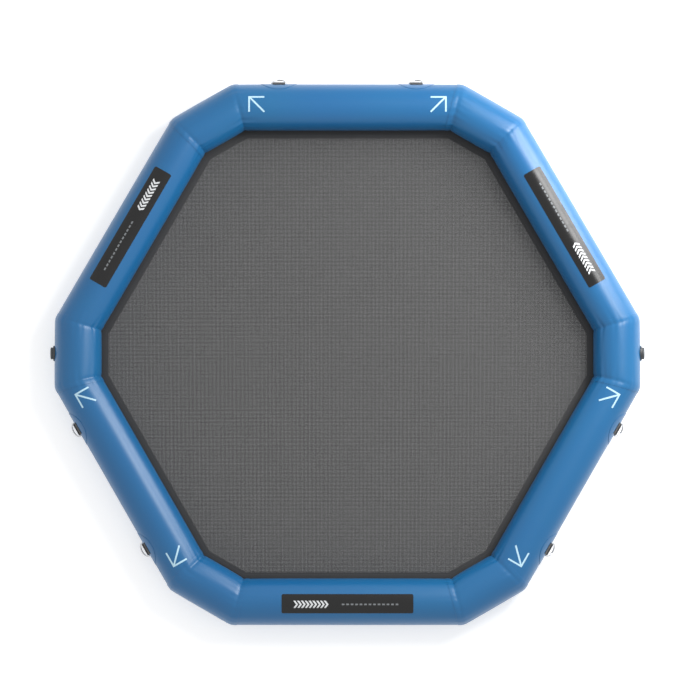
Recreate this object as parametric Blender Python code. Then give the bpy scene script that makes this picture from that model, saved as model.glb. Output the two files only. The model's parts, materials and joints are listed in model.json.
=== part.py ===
"""Inflatable water hammock: a hexagonal ring of air tubes with an open mesh stretched inside it.

Metres, +Z up. The origin is on the ground under the middle of the ring. +Y points to a long tube
that carries two tether rings, and +X to the short corner tube that carries the right-hand valve.
The ring is made of twelve runs of tube, numbered by the direction that they face in steps of 30
degrees from +X: even runs are the short corners, odd runs are the long sides. Seam k joins run k
to run k + 1.
"""

import math

import bmesh
import bpy
from mathutils import Matrix, Vector

# Gap that pieces lying against each other keep.
GAP = 0.0003

# Air tubes: coated fabric, drawn round by the pressure, twelve mitred runs.
ACROSS_FLATS = 2.100
CORNER_LENGTH = 0.225
TUBE_DIAMETER = 0.180
TUBE_WALL = 0.0010
TUBE_FACETS = 24
RUNS = 12

# The corner sleeves lap over the ends of the side tubes, where they are welded to them.
LAP_LENGTH = 0.022

# Bulkheads that part the ring into a left and a right air chamber.
BAFFLE_SEAM_DISTANCE = 0.060
BAFFLE_RIM_LENGTH = 0.020
BAFFLE_THICKNESS = 0.0010
BAFFLE_BULGE = 0.018
BAFFLE_BEND_SHARE = 0.5
BAFFLE_BEND_HEIGHT_SHARE = 0.75

# Skirt welded under the tubes, and the strips that grip the mesh.
SKIRT_THICKNESS = 0.0010
SKIRT_STRIP_OVERLAP = 0.022
STRIP_THICKNESS = 0.0010
STRIP_SHOWING = 0.025
STRIP_TUBE_CLEARANCE = 0.004

# Mesh panel. The real knit is far finer; the solid keeps its open share on a wider spacing.
STRAND_PITCH = 0.1060
STRAND_WIDTH = 0.0560
MESH_THICKNESS = 0.0009
MESH_SAG = 0.015
MESH_TUCK = 0.006

# Label patches, one on every second side, a little outside the tube's top.
LABEL_OFFSET = 0.008
LABEL_LENGTH = 0.505
LABEL_WIDTH = 0.075
LABEL_THICKNESS = 0.0008

# Tether rings: a round welded patch, a webbing keeper and a steel D-ring.
RING_SEAM_DISTANCE = 0.157
PATCH_DIAMETER = 0.140
PATCH_THICKNESS = 0.0010
PATCH_ROWS = 12
WEBBING_THICKNESS = 0.0012
WEBBING_TAIL = 0.036
KEEPER_ARC_STEPS = 8
RING_WIRE = 0.006
RING_OPENING = 0.050
RING_DEPTH = 0.034
RING_CORNER = 0.0035
RING_BOW_POINTS = 11
RING_CORNER_POINTS = 2
RING_DROOP = math.radians(30)

# Inflation valve: body through the tube wall, gasket outside, back nut inside.
FLANGE_DIAMETER = 0.060
FLANGE_RISE = 0.005
NECK_DIAMETER = 0.040
NECK_RISE = 0.008
NECK_CHAMFER = 0.001
BORE_DIAMETER = 0.031
BARREL_DIAMETER = 0.038
BARREL_DEPTH = 0.030
GASKET_WIDTH = 0.009
GASKET_THICKNESS = 0.0012
NUT_WIDTH = 0.009
NUT_THICKNESS = 0.007

# Valve core in the bore: a rim with arms and a hub that guides the stem.
CORE_DEPTH = 0.012
CORE_THICKNESS = 0.003
CORE_RIM_WIDTH = 0.002
ARM_WIDTH = 0.003
ARMS = 3
HUB_DIAMETER = 0.012

# Rubber poppet under the barrel, on a stem with a push button and a return spring.
STEM_DIAMETER = 0.005
BUTTON_DIAMETER = 0.013
BUTTON_THICKNESS = 0.003
BUTTON_RECESS = 0.008
BUTTON_SLOT_WIDTH = 0.002
BUTTON_SLOT_DEPTH = 0.001
POPPET_OVERLAP = 0.002
POPPET_THICKNESS = 0.003
STEM_FOOT_DIAMETER = 0.010
STEM_FOOT_THICKNESS = 0.002
SPRING_WIRE = 0.0009
SPRING_TURNS = 5
SPRING_TURN_POINTS = 8

# Valve cap on its strap.
CAP_WALL = 0.0022
CAP_TOP = 0.0025
CAP_BEVEL = 0.0012
STRAP_THICKNESS = 0.0015
STRAP_COLLAR_WIDTH = 0.004
STRAP_TAB_WIDTH = 0.014
STRAP_FOLD_DISTANCE = 0.006

ROUND_STEPS = 24
SMALL_ROUND_STEPS = 16
SMOOTH_ANGLE = math.radians(35)
UP = Vector((0, 0, 1))

TURN = 2 * math.pi
RUN_ANGLE = TURN / RUNS
FACET_ANGLE = TURN / TUBE_FACETS
# Angles of the corners of the faceted wall, above its outer side.
WALL_BENDS = [(k + 1 / 2) * FACET_ANGLE for k in range(TUBE_FACETS)]
TUBE_RADIUS = TUBE_DIAMETER / 2
WALL_APOTHEM = TUBE_RADIUS * math.cos(FACET_ANGLE / 2)
INNER_APOTHEM = WALL_APOTHEM - TUBE_WALL
# The corner sleeves lie outside the side tubes, so the ring stands on their undersides.
SLEEVE_INNER = WALL_APOTHEM + GAP
SLEEVE_APOTHEM = SLEEVE_INNER + TUBE_WALL
TUBE_HEIGHT = SLEEVE_APOTHEM
SIDE_APOTHEM = ACROSS_FLATS / 2 - TUBE_RADIUS
CORNER_APOTHEM = (SIDE_APOTHEM - CORNER_LENGTH / 2 * math.sin(RUN_ANGLE)) / math.cos(RUN_ANGLE)
SIDE_LENGTH = 2 * (CORNER_APOTHEM - SIDE_APOTHEM * math.cos(RUN_ANGLE)) / math.sin(RUN_ANGLE)

CORNER_NAMES = {
    0: "right",
    2: "upper_right",
    4: "upper_left",
    6: "left",
    8: "lower_left",
    10: "lower_right",
}
SIDE_NAMES = {
    1: "upper_right",
    3: "top",
    5: "upper_left",
    7: "lower_left",
    9: "bottom",
    11: "lower_right",
}
LABEL_RUNS = (1, 5, 9)
# Each tether ring's run, and its side of the middle of that run: 1 is clockwise from above.
RING_PLACES = {
    "top_left": (3, -1),
    "top_right": (3, 1),
    "lower_left_upper": (7, 1),
    "lower_left_lower": (7, -1),
    "lower_right_upper": (11, -1),
    "lower_right_lower": (11, 1),
}
VALVE_RUNS = {0: "right", 6: "left"}
BAFFLE_RUNS = {3: "top", 9: "bottom"}


# Places on the ring.


def facing(run):
    """The direction that a run faces, away from the middle of the ring."""
    return Vector((math.cos(run * RUN_ANGLE), math.sin(run * RUN_ANGLE), 0))


def along(run):
    """The direction along a run, clockwise seen from above."""
    return facing(run).cross(UP)


def apothem(run):
    """How far a run's middle line is from the middle of the ring."""
    return SIDE_APOTHEM if run % 2 else CORNER_APOTHEM


def at_seam(seam, out, up):
    """A point on the plane of a seam, out and up from the tubes' middle line."""
    here, there = seam * RUN_ANGLE, (seam + 1) * RUN_ANGLE
    near, far = apothem(seam), apothem(seam + 1)
    turn = math.sin(RUN_ANGLE)
    x = (near * math.sin(there) - far * math.sin(here)) / turn
    y = (far * math.cos(here) - near * math.cos(there)) / turn
    half = (here + there) / 2
    mitre = out / math.cos(RUN_ANGLE / 2)
    return Vector((x + mitre * math.cos(half), y + mitre * math.sin(half), TUBE_HEIGHT + up))


def on_run(run, distance, out, up):
    """A point at a distance along a run from its middle, out and up from the tube's middle line."""
    place = facing(run) * (apothem(run) + out) + along(run) * distance
    return place + UP * (TUBE_HEIGHT + up)


def run_frame(run, distance, out):
    """A frame on a run: X along it, Y facing out and Z up."""
    frame = Matrix((along(run), facing(run), UP)).transposed().to_4x4()
    frame.translation = on_run(run, distance, out, 0)
    return frame


def valve_frame(run):
    """A frame on the tube's middle line: X up, Y along the run and Z facing out."""
    frame = Matrix((UP, along(run), facing(run))).transposed().to_4x4()
    frame.translation = on_run(run, 0, 0, 0)
    return frame


def wall_point(angle, apothem_there):
    """A point of the faceted tube wall, out and up, at an angle above its outer side."""
    off = angle - FACET_ANGLE * round(angle / FACET_ANGLE)
    reach = apothem_there / math.cos(off)
    return reach * math.cos(angle), reach * math.sin(angle)


def tube_outline(apothem_there):
    """The corners of the faceted tube, out and up."""
    reach = apothem_there / math.cos(FACET_ANGLE / 2)
    return [(reach * math.cos(angle), reach * math.sin(angle)) for angle in WALL_BENDS]


# Making of meshes and objects.


def skin(bm, rings):
    """Closes a surface through rings of points, with the last ring joined to the first."""
    loops = [[bm.verts.new(point) for point in ring] for ring in rings]
    for here, there in zip(loops, loops[1:] + loops[:1]):
        for i, vertex in enumerate(here):
            j = (i + 1) % len(here)
            bm.faces.new((vertex, here[j], there[j], there[i]))


def prism(bm, start, end):
    """A solid between two outlines with the same number of points."""
    first = [bm.verts.new(point) for point in start]
    last = [bm.verts.new(point) for point in end]
    bm.faces.new(first)
    bm.faces.new(last)
    for i, vertex in enumerate(first):
        j = (i + 1) % len(first)
        bm.faces.new((vertex, first[j], last[j], last[i]))


def box(bm, low, high):
    """A block between two corners."""
    bottom = [(low[0], low[1]), (high[0], low[1]), (high[0], high[1]), (low[0], high[1])]
    prism(bm, [(x, y, low[2]) for x, y in bottom], [(x, y, high[2]) for x, y in bottom])


def turned(outline, steps=ROUND_STEPS, first_angle=0.0):
    """A piece turned about Z from an outline of radius and height, closed where it meets Z."""
    bm = bmesh.new()
    turn = Matrix.Rotation(first_angle, 3, "Z")
    points = [bm.verts.new(turn @ Vector((radius, 0, height))) for radius, height in outline]
    edges = [bm.edges.new(pair) for pair in zip(points, points[1:] + points[:1])]
    bmesh.ops.spin(
        bm, geom=points + edges, axis=UP, cent=(0, 0, 0), angle=TURN, steps=steps, use_merge=True
    )
    bmesh.ops.remove_doubles(bm, verts=bm.verts, dist=GAP / 100)
    loose = [edge for edge in bm.edges if not edge.link_faces]
    bmesh.ops.delete(bm, geom=loose, context="EDGES")
    return bm


def finish(name, colour, roughness, metallic=0.0):
    """A plain material."""
    material = bpy.data.materials.new(name)
    material.use_nodes = True
    shader = material.node_tree.nodes["Principled BSDF"]
    shader.inputs["Base Color"].default_value = (*colour, 1)
    shader.inputs["Roughness"].default_value = roughness
    shader.inputs["Metallic"].default_value = metallic
    material.diffuse_color = (*colour, 1)
    return material


def place(piece, frame, pivot=None):
    """Puts a piece in the scene at a frame, under a joint's pivot where it has one."""
    bpy.context.collection.objects.link(piece)
    if pivot:
        piece.parent = pivot
        piece.matrix_basis = pivot.matrix_basis.inverted() @ frame
    else:
        piece.matrix_basis = frame
    return piece


def pivot_at(name, frame):
    """An empty on a joint's axis."""
    return place(bpy.data.objects.new(name, None), frame)


def make(name, bm, material, frame=None, pivot=None, smooth=True):
    """A named object from a bmesh, closed and facing outwards."""
    bmesh.ops.recalc_face_normals(bm, faces=bm.faces)
    mesh = bpy.data.meshes.new(name)
    bm.to_mesh(mesh)
    bm.free()
    if smooth:
        mesh.shade_smooth()
        mesh.set_sharp_from_angle(angle=SMOOTH_ANGLE)
    mesh.materials.append(material)
    return place(bpy.data.objects.new(name, mesh), frame or Matrix.Identity(4), pivot)


def wire(name, points, diameter, material, frame, pivot=None, closed=False, roundness=2):
    """A bent wire through a list of points, with a flat of its faceted round on each side."""
    curve = bpy.data.curves.new(name, "CURVE")
    curve.dimensions = "3D"
    curve.bevel_depth = diameter / 2
    curve.bevel_resolution = roundness
    curve.use_fill_caps = not closed
    spline = curve.splines.new("POLY")
    spline.points.add(len(points) - 1)
    for slot, point in zip(spline.points, points):
        slot.co = (*point, 1)
        slot.tilt = math.pi / (4 + 2 * roundness)
    spline.use_cyclic_u = closed
    spline.use_smooth = True
    curve.materials.append(material)
    return place(bpy.data.objects.new(name, curve), frame, pivot)


def combine(piece, tool, operation):
    """Cuts or joins a piece with a hidden tool object."""
    tool.hide_render = True
    tool.display_type = "WIRE"
    modifier = piece.modifiers.new(tool.name, "BOOLEAN")
    modifier.operation = operation
    modifier.solver = "EXACT"
    modifier.object = tool


# Air tubes and bulkheads.


def side_tube(run, material):
    """A long run of tube, open at its mitred ends."""
    rings = []
    for apothem_there, seams in ((WALL_APOTHEM, (run - 1, run)), (INNER_APOTHEM, (run, run - 1))):
        outline = tube_outline(apothem_there)
        rings += [[at_seam(seam, *point) for point in outline] for seam in seams]
    bm = bmesh.new()
    skin(bm, rings)
    return make(f"tube_side_{SIDE_NAMES[run]}", bm, material)


def corner_tube(run, material):
    """A short run of tube whose ends bend round and lap over the side tubes."""
    rings = []
    for apothem_there, order in ((SLEEVE_APOTHEM, 1), (SLEEVE_INNER, -1)):
        outline = tube_outline(apothem_there)
        first = [at_seam(run - 1, *point) for point in outline]
        last = [at_seam(run, *point) for point in outline]
        before = [point + along(run - 1) * LAP_LENGTH for point in first]
        after = [point - along(run + 1) * LAP_LENGTH for point in last]
        rings += [before, first, last, after][::order]
    bm = bmesh.new()
    skin(bm, rings)
    return make(f"tube_corner_{CORNER_NAMES[run]}", bm, material)


def baffle(run, material):
    """A domed bulkhead with a rim bonded inside the tube."""
    rim = (INNER_APOTHEM - GAP) / math.cos(FACET_ANGLE / 2)
    inside = rim - BAFFLE_THICKNESS
    bend, bend_height = rim * BAFFLE_BEND_SHARE, BAFFLE_BULGE * BAFFLE_BEND_HEIGHT_SHARE
    outline = [
        (0, BAFFLE_BULGE),
        (bend, bend_height),
        (rim, 0),
        (rim, -BAFFLE_RIM_LENGTH),
        (inside, -BAFFLE_RIM_LENGTH),
        (inside, -BAFFLE_THICKNESS),
        (bend, bend_height - BAFFLE_THICKNESS),
        (0, BAFFLE_BULGE - BAFFLE_THICKNESS),
    ]
    bm = turned(outline, TUBE_FACETS, FACET_ANGLE / 2)
    frame = Matrix((UP, facing(run), along(run))).transposed().to_4x4()
    distance = SIDE_LENGTH / 2 - BAFFLE_SEAM_DISTANCE
    frame.translation = on_run(run, distance, 0, 0)
    return make(f"chamber_baffle_{BAFFLE_RUNS[run]}", bm, material, frame)


# Skirt, strips and mesh.

# The skirt leaves the tubes at the third corner of the outline below their inner side.
SKIRT_BEND = TUBE_FACETS // 2 + 2
SKIRT_ROOT, SKIRT_FOOT = WALL_BENDS[SKIRT_BEND : SKIRT_BEND + 2]
SKIRT_APOTHEM = SLEEVE_APOTHEM + GAP
SKIRT_TOP = wall_point(SKIRT_ROOT, SKIRT_APOTHEM)[1]
STRIP_OUTER = wall_point(SKIRT_ROOT, SKIRT_APOTHEM)[0] - STRIP_TUBE_CLEARANCE
STRIP_INNER = -TUBE_RADIUS - STRIP_SHOWING
SKIRT_INNER = STRIP_OUTER - SKIRT_STRIP_OVERLAP
MESH_OUTER = SKIRT_INNER - GAP
MESH_OPEN = STRIP_INNER + MESH_TUCK
LAYER = max(SKIRT_THICKNESS, MESH_THICKNESS)


def band(name, outline, material):
    """A closed band round the whole ring, from its outline of out and up."""
    bm = bmesh.new()
    skin(bm, [[at_seam(seam, out, up) for seam in range(RUNS)] for out, up in outline])
    return make(name, bm, material, smooth=False)


def skirt(material):
    """The flap between the underside of the tubes and the strips."""
    face = SKIRT_APOTHEM + SKIRT_THICKNESS
    slope = (SKIRT_ROOT + SKIRT_FOOT) / 2
    under = SKIRT_TOP - SKIRT_THICKNESS
    bend = (face - under * math.sin(slope)) / math.cos(slope)
    outline = [
        wall_point(SKIRT_ROOT, SKIRT_APOTHEM),
        (SKIRT_INNER, SKIRT_TOP),
        (SKIRT_INNER, under),
        (bend, under),
        wall_point(SKIRT_FOOT, face),
        wall_point(SKIRT_FOOT, SKIRT_APOTHEM),
    ]
    return band("mesh_skirt", outline, material)


def strip(name, low, material):
    """One of the two strips that grip the mesh and the skirt."""
    high = low + STRIP_THICKNESS
    outline = [(STRIP_OUTER, high), (STRIP_INNER, high), (STRIP_INNER, low), (STRIP_OUTER, low)]
    return band(name, outline, material)


def sag(x, y):
    """How far the mesh hangs below its edge: a stretched membrane, level along the strips."""
    share = 1.0
    for run in (1, 3, 5):
        way = facing(run)
        share *= max(0.0, 1 - ((x * way.x + y * way.y) / (SIDE_APOTHEM + MESH_OPEN)) ** 2)
    return MESH_SAG * share


def mesh_panel(material):
    """A flat net: crossing strands with square gaps and a closed edge between the strips."""
    bm = bmesh.new()
    count = math.ceil((CORNER_APOTHEM + MESH_OUTER) / STRAND_PITCH) + 1
    lines, open_after = [], []
    for k in range(-count, count + 1):
        lines += [k * STRAND_PITCH - STRAND_WIDTH / 2, k * STRAND_PITCH + STRAND_WIDTH / 2]
        open_after += [False, True]
    grid = [[bm.verts.new((x, y, 0)) for y in lines] for x in lines]
    for i in range(len(lines) - 1):
        for j in range(len(lines) - 1):
            corners = (grid[i][j], grid[i + 1][j], grid[i + 1][j + 1], grid[i][j + 1])
            face = bm.faces.new(corners)
            face.material_index = int(open_after[i] and open_after[j])
    for run in range(RUNS):
        for reach, clear in ((MESH_OUTER, True), (MESH_OPEN, False)):
            bmesh.ops.bisect_plane(
                bm,
                geom=bm.verts[:] + bm.edges[:] + bm.faces[:],
                plane_co=facing(run) * (apothem(run) + reach),
                plane_no=facing(run),
                clear_outer=clear,
            )

    def is_open(face):
        middle = face.calc_center_median()
        inside = all(
            middle.dot(facing(run)) < apothem(run) + MESH_OPEN for run in range(RUNS)
        )
        return face.material_index and inside

    gaps = [face for face in bm.faces if is_open(face)]
    bmesh.ops.delete(bm, geom=gaps, context="FACES")
    for face in bm.faces:
        face.material_index = 0
    bmesh.ops.triangulate(bm, faces=bm.faces)
    for vertex in bm.verts:
        vertex.co.z = TUBE_HEIGHT + SKIRT_TOP - sag(vertex.co.x, vertex.co.y)
    upper = bm.faces[:]
    rims = [edge.verts[:] for edge in bm.edges if edge.is_boundary]
    down = UP * MESH_THICKNESS
    lower = {vertex: bm.verts.new(vertex.co - down) for vertex in bm.verts[:]}
    for face in upper:
        bm.faces.new([lower[vertex] for vertex in reversed(face.verts)])
    for a, b in rims:
        bm.faces.new((a, b, lower[b], lower[a]))
    return make("mesh_panel", bm, material, smooth=False)


# Label patches.


def wall_strip(width, offset, low, high):
    """The outline of a strip that follows the tube near its top, out and up."""
    middle = math.pi / 2 - offset / TUBE_RADIUS
    half = width / 2 / TUBE_RADIUS
    bends = [bend for bend in WALL_BENDS if abs(bend - middle) < half]
    angles = [middle - half, *bends, middle + half]
    outer = [wall_point(angle, high) for angle in angles]
    inner = [wall_point(angle, low) for angle in angles]
    return outer + inner[::-1]


def label_patch(run, material):
    """A plain rectangular patch along the top of a side."""
    low = WALL_APOTHEM + GAP
    outline = wall_strip(LABEL_WIDTH, LABEL_OFFSET, low, low + LABEL_THICKNESS)
    bm = bmesh.new()
    ends = (-LABEL_LENGTH / 2, LABEL_LENGTH / 2)
    prism(bm, *[[on_run(run, end, *point) for point in outline] for end in ends])
    return make(f"label_patch_{SIDE_NAMES[run]}", bm, material)


# Tether rings.

PATCH_FACE = WALL_APOTHEM + GAP + PATCH_THICKNESS
KEEPER_FACE = PATCH_FACE + GAP
KEEPER_INNER = RING_WIRE / 2 + GAP
KEEPER_OUTER = KEEPER_INNER + WEBBING_THICKNESS
RING_AXIS_OUT = KEEPER_FACE + KEEPER_INNER
RING_HALF_WIDTH = (RING_OPENING + RING_WIRE) / 2
WEBBING_HALF_WIDTH = RING_HALF_WIDTH - RING_CORNER - GAP
RING_DISTANCE = SIDE_LENGTH / 2 - RING_SEAM_DISTANCE


def ring_patch(frame, name, material):
    """A round patch that follows the wall."""
    radius = PATCH_DIAMETER / 2
    bends = [bend * TUBE_RADIUS for bend in WALL_BENDS if bend * TUBE_RADIUS < radius]
    rows = [radius * math.sin(math.pi * k / PATCH_ROWS) for k in range(PATCH_ROWS // 2)]
    heights = sorted({side * height for height in rows + bends for side in (-1, 1)})
    bm = bmesh.new()
    outlines = []
    for face in (PATCH_FACE, WALL_APOTHEM + GAP):
        row = []
        for height in heights:
            out, up = wall_point(height / TUBE_RADIUS, face)
            half = math.sqrt(radius**2 - height**2)
            row.append([bm.verts.new((side * half, out, up)) for side in (-1, 1)])
        outlines.append(row)
    front, back = outlines
    for k in range(len(heights) - 1):
        for face in (front, back):
            bm.faces.new((face[k][0], face[k][1], face[k + 1][1], face[k + 1][0]))
        for side in (0, 1):
            bm.faces.new((front[k][side], front[k + 1][side], back[k + 1][side], back[k][side]))
    for end in (0, -1):
        bm.faces.new((front[end][0], front[end][1], back[end][1], back[end][0]))
    return make(name, bm, material, frame)


def keeper_outline():
    """Side view of the webbing: two tails on the patch and a loop round the ring's bar."""
    tail = WEBBING_TAIL / TUBE_RADIUS
    bends = [bend for bend in reversed(WALL_BENDS) if bend < tail]
    arc = [math.pi * (1 / 2 - k / KEEPER_ARC_STEPS) for k in range(KEEPER_ARC_STEPS + 1)]
    sides = []
    outer = KEEPER_FACE + WEBBING_THICKNESS
    for face, reach in ((KEEPER_FACE, KEEPER_INNER), (outer, KEEPER_OUTER)):
        upper = [wall_point(bend, face) for bend in [tail, *bends]]
        upper.append((face, reach))
        loop = [(RING_AXIS_OUT + reach * math.cos(a), reach * math.sin(a)) for a in arc]
        lower = [(out, -up) for out, up in reversed(upper)]
        sides.append(upper + loop + lower)
    return sides[0] + sides[1][::-1]


def keeper(frame, name, material):
    """The webbing keeper."""
    outline = keeper_outline()
    bm = bmesh.new()
    ends = (-WEBBING_HALF_WIDTH, WEBBING_HALF_WIDTH)
    prism(bm, *[[(end, out, up) for out, up in outline] for end in ends])
    return make(name, bm, material, frame)


def ring_points():
    """The middle line of a D-ring, with its bar on X and its bow towards -Z."""
    side, bend = RING_HALF_WIDTH, RING_CORNER
    points = []
    for k in range(RING_CORNER_POINTS + 1):
        angle = k / RING_CORNER_POINTS * math.pi / 2
        x = side - bend + bend * math.sin(angle)
        points.append((x, 0, -bend + bend * math.cos(angle)))
    for k in range(1, RING_BOW_POINTS):
        angle = k / RING_BOW_POINTS * math.pi
        drop = bend + (RING_DEPTH - bend) * math.sin(angle)
        points.append((side * math.cos(angle), 0, -drop))
    for k in range(RING_CORNER_POINTS, -1, -1):
        angle = k / RING_CORNER_POINTS * math.pi / 2
        x = side - bend + bend * math.sin(angle)
        points.append((-x, 0, -bend + bend * math.cos(angle)))
    return points


def tether_ring(name, finishes):
    """A patch, a keeper and a D-ring that hangs a little off the wall."""
    run, side = RING_PLACES[name]
    base = run_frame(run, side * RING_DISTANCE, 0)
    ring_patch(base, f"d_ring_patch_{name}", finishes["tube"])
    keeper(base, f"d_ring_webbing_{name}", finishes["webbing"])
    pivot = pivot_at(f"pivot_{name}", run_frame(run, side * RING_DISTANCE, RING_AXIS_OUT))
    hanging = pivot.matrix_basis @ Matrix.Rotation(RING_DROOP, 4, "X")
    wire(
        f"d_ring_{name}", ring_points(), RING_WIRE, finishes["steel"], hanging, pivot, closed=True
    )


# Inflation valves. Heights below are from the tube's middle line, along the valve.

FLANGE_FACE = SLEEVE_APOTHEM + FLANGE_RISE
MOUTH = FLANGE_FACE + NECK_RISE
GASKET_FACE = SLEEVE_APOTHEM + GAP + GASKET_THICKNESS
BARREL_END = SLEEVE_APOTHEM - BARREL_DEPTH
CORE_FACE = SLEEVE_APOTHEM - CORE_DEPTH
BUTTON_FACE = MOUTH - BUTTON_RECESS
BUTTON_UNDER = BUTTON_FACE - BUTTON_THICKNESS
POPPET_FACE = BARREL_END - GAP
POPPET_UNDER = POPPET_FACE - POPPET_THICKNESS
STEM_END = POPPET_UNDER - GAP - STEM_FOOT_THICKNESS
COLLAR_UNDER = FLANGE_FACE + GAP
COLLAR_FACE = COLLAR_UNDER + STRAP_THICKNESS
CAP_RIM = COLLAR_FACE + GAP
CAP_UNDER = MOUTH + GAP
CAP_FACE = CAP_UNDER + CAP_TOP
CAP_INNER_RADIUS = NECK_DIAMETER / 2 + GAP
CAP_RADIUS = CAP_INNER_RADIUS + CAP_WALL
FOLD_DISTANCE = CAP_RADIUS + STRAP_FOLD_DISTANCE
FOLD_HEIGHT = COLLAR_FACE + GAP / 2


def wall_prism(name, apothem_there, frame):
    """A hidden length of the faceted tube at a valve, for cutting what lies on the wall."""
    outline = [(up, out) for out, up in tube_outline(apothem_there)]
    ends = (-FLANGE_DIAMETER, FLANGE_DIAMETER)
    bm = bmesh.new()
    prism(bm, *[[(x, end, z) for x, z in outline] for end in ends])
    return make(name, bm, None, frame, smooth=False)


def valve_ring(name, inner, outer, low, high, material, frame):
    """A plain turned ring on a valve's axis."""
    bm = turned([(inner, high), (outer, high), (outer, low), (inner, low)])
    return make(name, bm, material, frame)


def valve_body(name, frame, material):
    """Flange, neck and barrel in one piece."""
    flange, neck = FLANGE_DIAMETER / 2, NECK_DIAMETER / 2
    bore, barrel = BORE_DIAMETER / 2, BARREL_DIAMETER / 2
    within_wall = (bore + barrel) / 2
    outline = [
        (bore, MOUTH),
        (neck - NECK_CHAMFER, MOUTH),
        (neck, MOUTH - NECK_CHAMFER),
        (neck, (FLANGE_FACE + GASKET_FACE) / 2),
        (barrel, (FLANGE_FACE + GASKET_FACE) / 2),
        (barrel, BARREL_END),
        (bore, BARREL_END),
    ]
    body = make(name, turned(outline), material, frame)
    saddle = valve_ring(
        f"{name}_flange", within_wall, flange, SLEEVE_APOTHEM / 2, FLANGE_FACE, material, frame
    )
    combine(saddle, wall_prism(f"{name}_wall", GASKET_FACE + GAP, frame), "DIFFERENCE")
    combine(body, saddle, "UNION")


def valve_core(name, frame, material):
    """The insert in the bore: a rim, three arms and a hub that guides the stem."""
    rim, hub_hole, hub = BORE_DIAMETER / 2 - GAP, STEM_DIAMETER / 2 + GAP, HUB_DIAMETER / 2
    low, high = CORE_FACE - CORE_THICKNESS, CORE_FACE
    core = valve_ring(name, rim - CORE_RIM_WIDTH, rim, low, high, material, frame)
    combine(core, valve_ring(f"{name}_hub", hub_hole, hub, low, high, material, frame), "UNION")
    for arm in range(ARMS):
        bm = bmesh.new()
        half = ARM_WIDTH / 2
        box(bm, ((hub_hole + hub) / 2, -half, low), (rim - CORE_RIM_WIDTH / 2, half, high))
        turn = frame @ Matrix.Rotation(arm * TURN / ARMS, 4, "Z")
        combine(core, make(f"{name}_arm_{arm}", bm, material, turn, smooth=False), "UNION")


def valve_gasket(name, frame, material):
    """A flat rubber ring bent over the wall under the flange."""
    inner = BARREL_DIAMETER / 2 + GAP
    ring = valve_ring(
        name, inner, inner + GASKET_WIDTH, SLEEVE_APOTHEM / 2, FLANGE_FACE, material, frame
    )
    combine(ring, wall_prism(f"{name}_face", GASKET_FACE, frame), "INTERSECT")
    combine(ring, wall_prism(f"{name}_wall", SLEEVE_APOTHEM + GAP, frame), "DIFFERENCE")


def valve_nut(name, frame, material):
    """The nut inside the tube that clamps the wall against the flange."""
    inner = BARREL_DIAMETER / 2 + GAP
    low = SLEEVE_INNER - NUT_THICKNESS
    ring = valve_ring(name, inner, inner + NUT_WIDTH, low, SLEEVE_APOTHEM, material, frame)
    combine(ring, wall_prism(f"{name}_wall", SLEEVE_INNER - GAP, frame), "INTERSECT")


def valve_hole(tube_piece, frame):
    """The round hole in the tube for the valve's barrel."""
    radius, low = BARREL_DIAMETER / 2 + GAP, SLEEVE_APOTHEM / 2
    drill = turned([(0, FLANGE_FACE), (radius, FLANGE_FACE), (radius, low), (0, low)])
    combine(tube_piece, make(f"{tube_piece.name}_hole", drill, None, frame), "DIFFERENCE")


def valve_poppet(name, frame, material, pivot):
    """The rubber disc that closes the barrel from inside."""
    hole, rim = STEM_DIAMETER / 2 + GAP, BORE_DIAMETER / 2 + POPPET_OVERLAP
    outline = [(hole, POPPET_FACE), (rim, POPPET_FACE), (rim, POPPET_UNDER), (hole, POPPET_UNDER)]
    make(name, turned(outline), material, frame, pivot)


def valve_stem(name, frame, material, pivot):
    """Push button, stem and foot, with a slot that shows how the button is turned."""
    button, stem, foot = BUTTON_DIAMETER / 2, STEM_DIAMETER / 2, STEM_FOOT_DIAMETER / 2
    outline = [
        (0, BUTTON_FACE),
        (button, BUTTON_FACE),
        (button, BUTTON_UNDER),
        (stem, BUTTON_UNDER),
        (stem, POPPET_UNDER - GAP),
        (foot, POPPET_UNDER - GAP),
        (foot, STEM_END),
        (0, STEM_END),
    ]
    piece = make(name, turned(outline, SMALL_ROUND_STEPS), material, frame, pivot)
    bm = bmesh.new()
    half = BUTTON_SLOT_WIDTH / 2
    box(
        bm,
        (-BUTTON_DIAMETER, -half, BUTTON_FACE - BUTTON_SLOT_DEPTH),
        (BUTTON_DIAMETER, half, BUTTON_FACE + BUTTON_THICKNESS),
    )
    combine(piece, make(f"{name}_slot", bm, None, frame, smooth=False), "DIFFERENCE")


def valve_spring(name, frame, material):
    """The coil spring between the hub and the button."""
    radius = (STEM_DIAMETER + HUB_DIAMETER) / 4
    low = CORE_FACE + GAP + SPRING_WIRE / 2
    high = BUTTON_UNDER - GAP - SPRING_WIRE / 2
    points = []
    for k in range(SPRING_TURNS * SPRING_TURN_POINTS + 1):
        share = k / (SPRING_TURNS * SPRING_TURN_POINTS)
        angle = share * SPRING_TURNS * TURN
        height = low + (high - low) * share
        points.append((radius * math.cos(angle), radius * math.sin(angle), height))
    wire(name, points, SPRING_WIRE, material, frame, roundness=1)


def strap_tab(name, reach, low, material, frame, pivot=None):
    """A flat tab that runs down from a reach below the valve's axis to the strap's fold."""
    bm = bmesh.new()
    half = STRAP_TAB_WIDTH / 2
    box(bm, (-FOLD_DISTANCE, -half, low), (-reach, half, low + STRAP_THICKNESS))
    return make(name, bm, material, frame, pivot, smooth=False)


def valve_strap(name, frame, material):
    """The collar round the neck that the cap's strap folds out of."""
    inner = NECK_DIAMETER / 2 + GAP
    outer = inner + STRAP_COLLAR_WIDTH
    collar = valve_ring(name, inner, outer, COLLAR_UNDER, COLLAR_FACE, material, frame)
    reach = (inner + outer) / 2
    combine(collar, strap_tab(f"{name}_tab", reach, COLLAR_UNDER, material, frame), "UNION")


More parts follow.
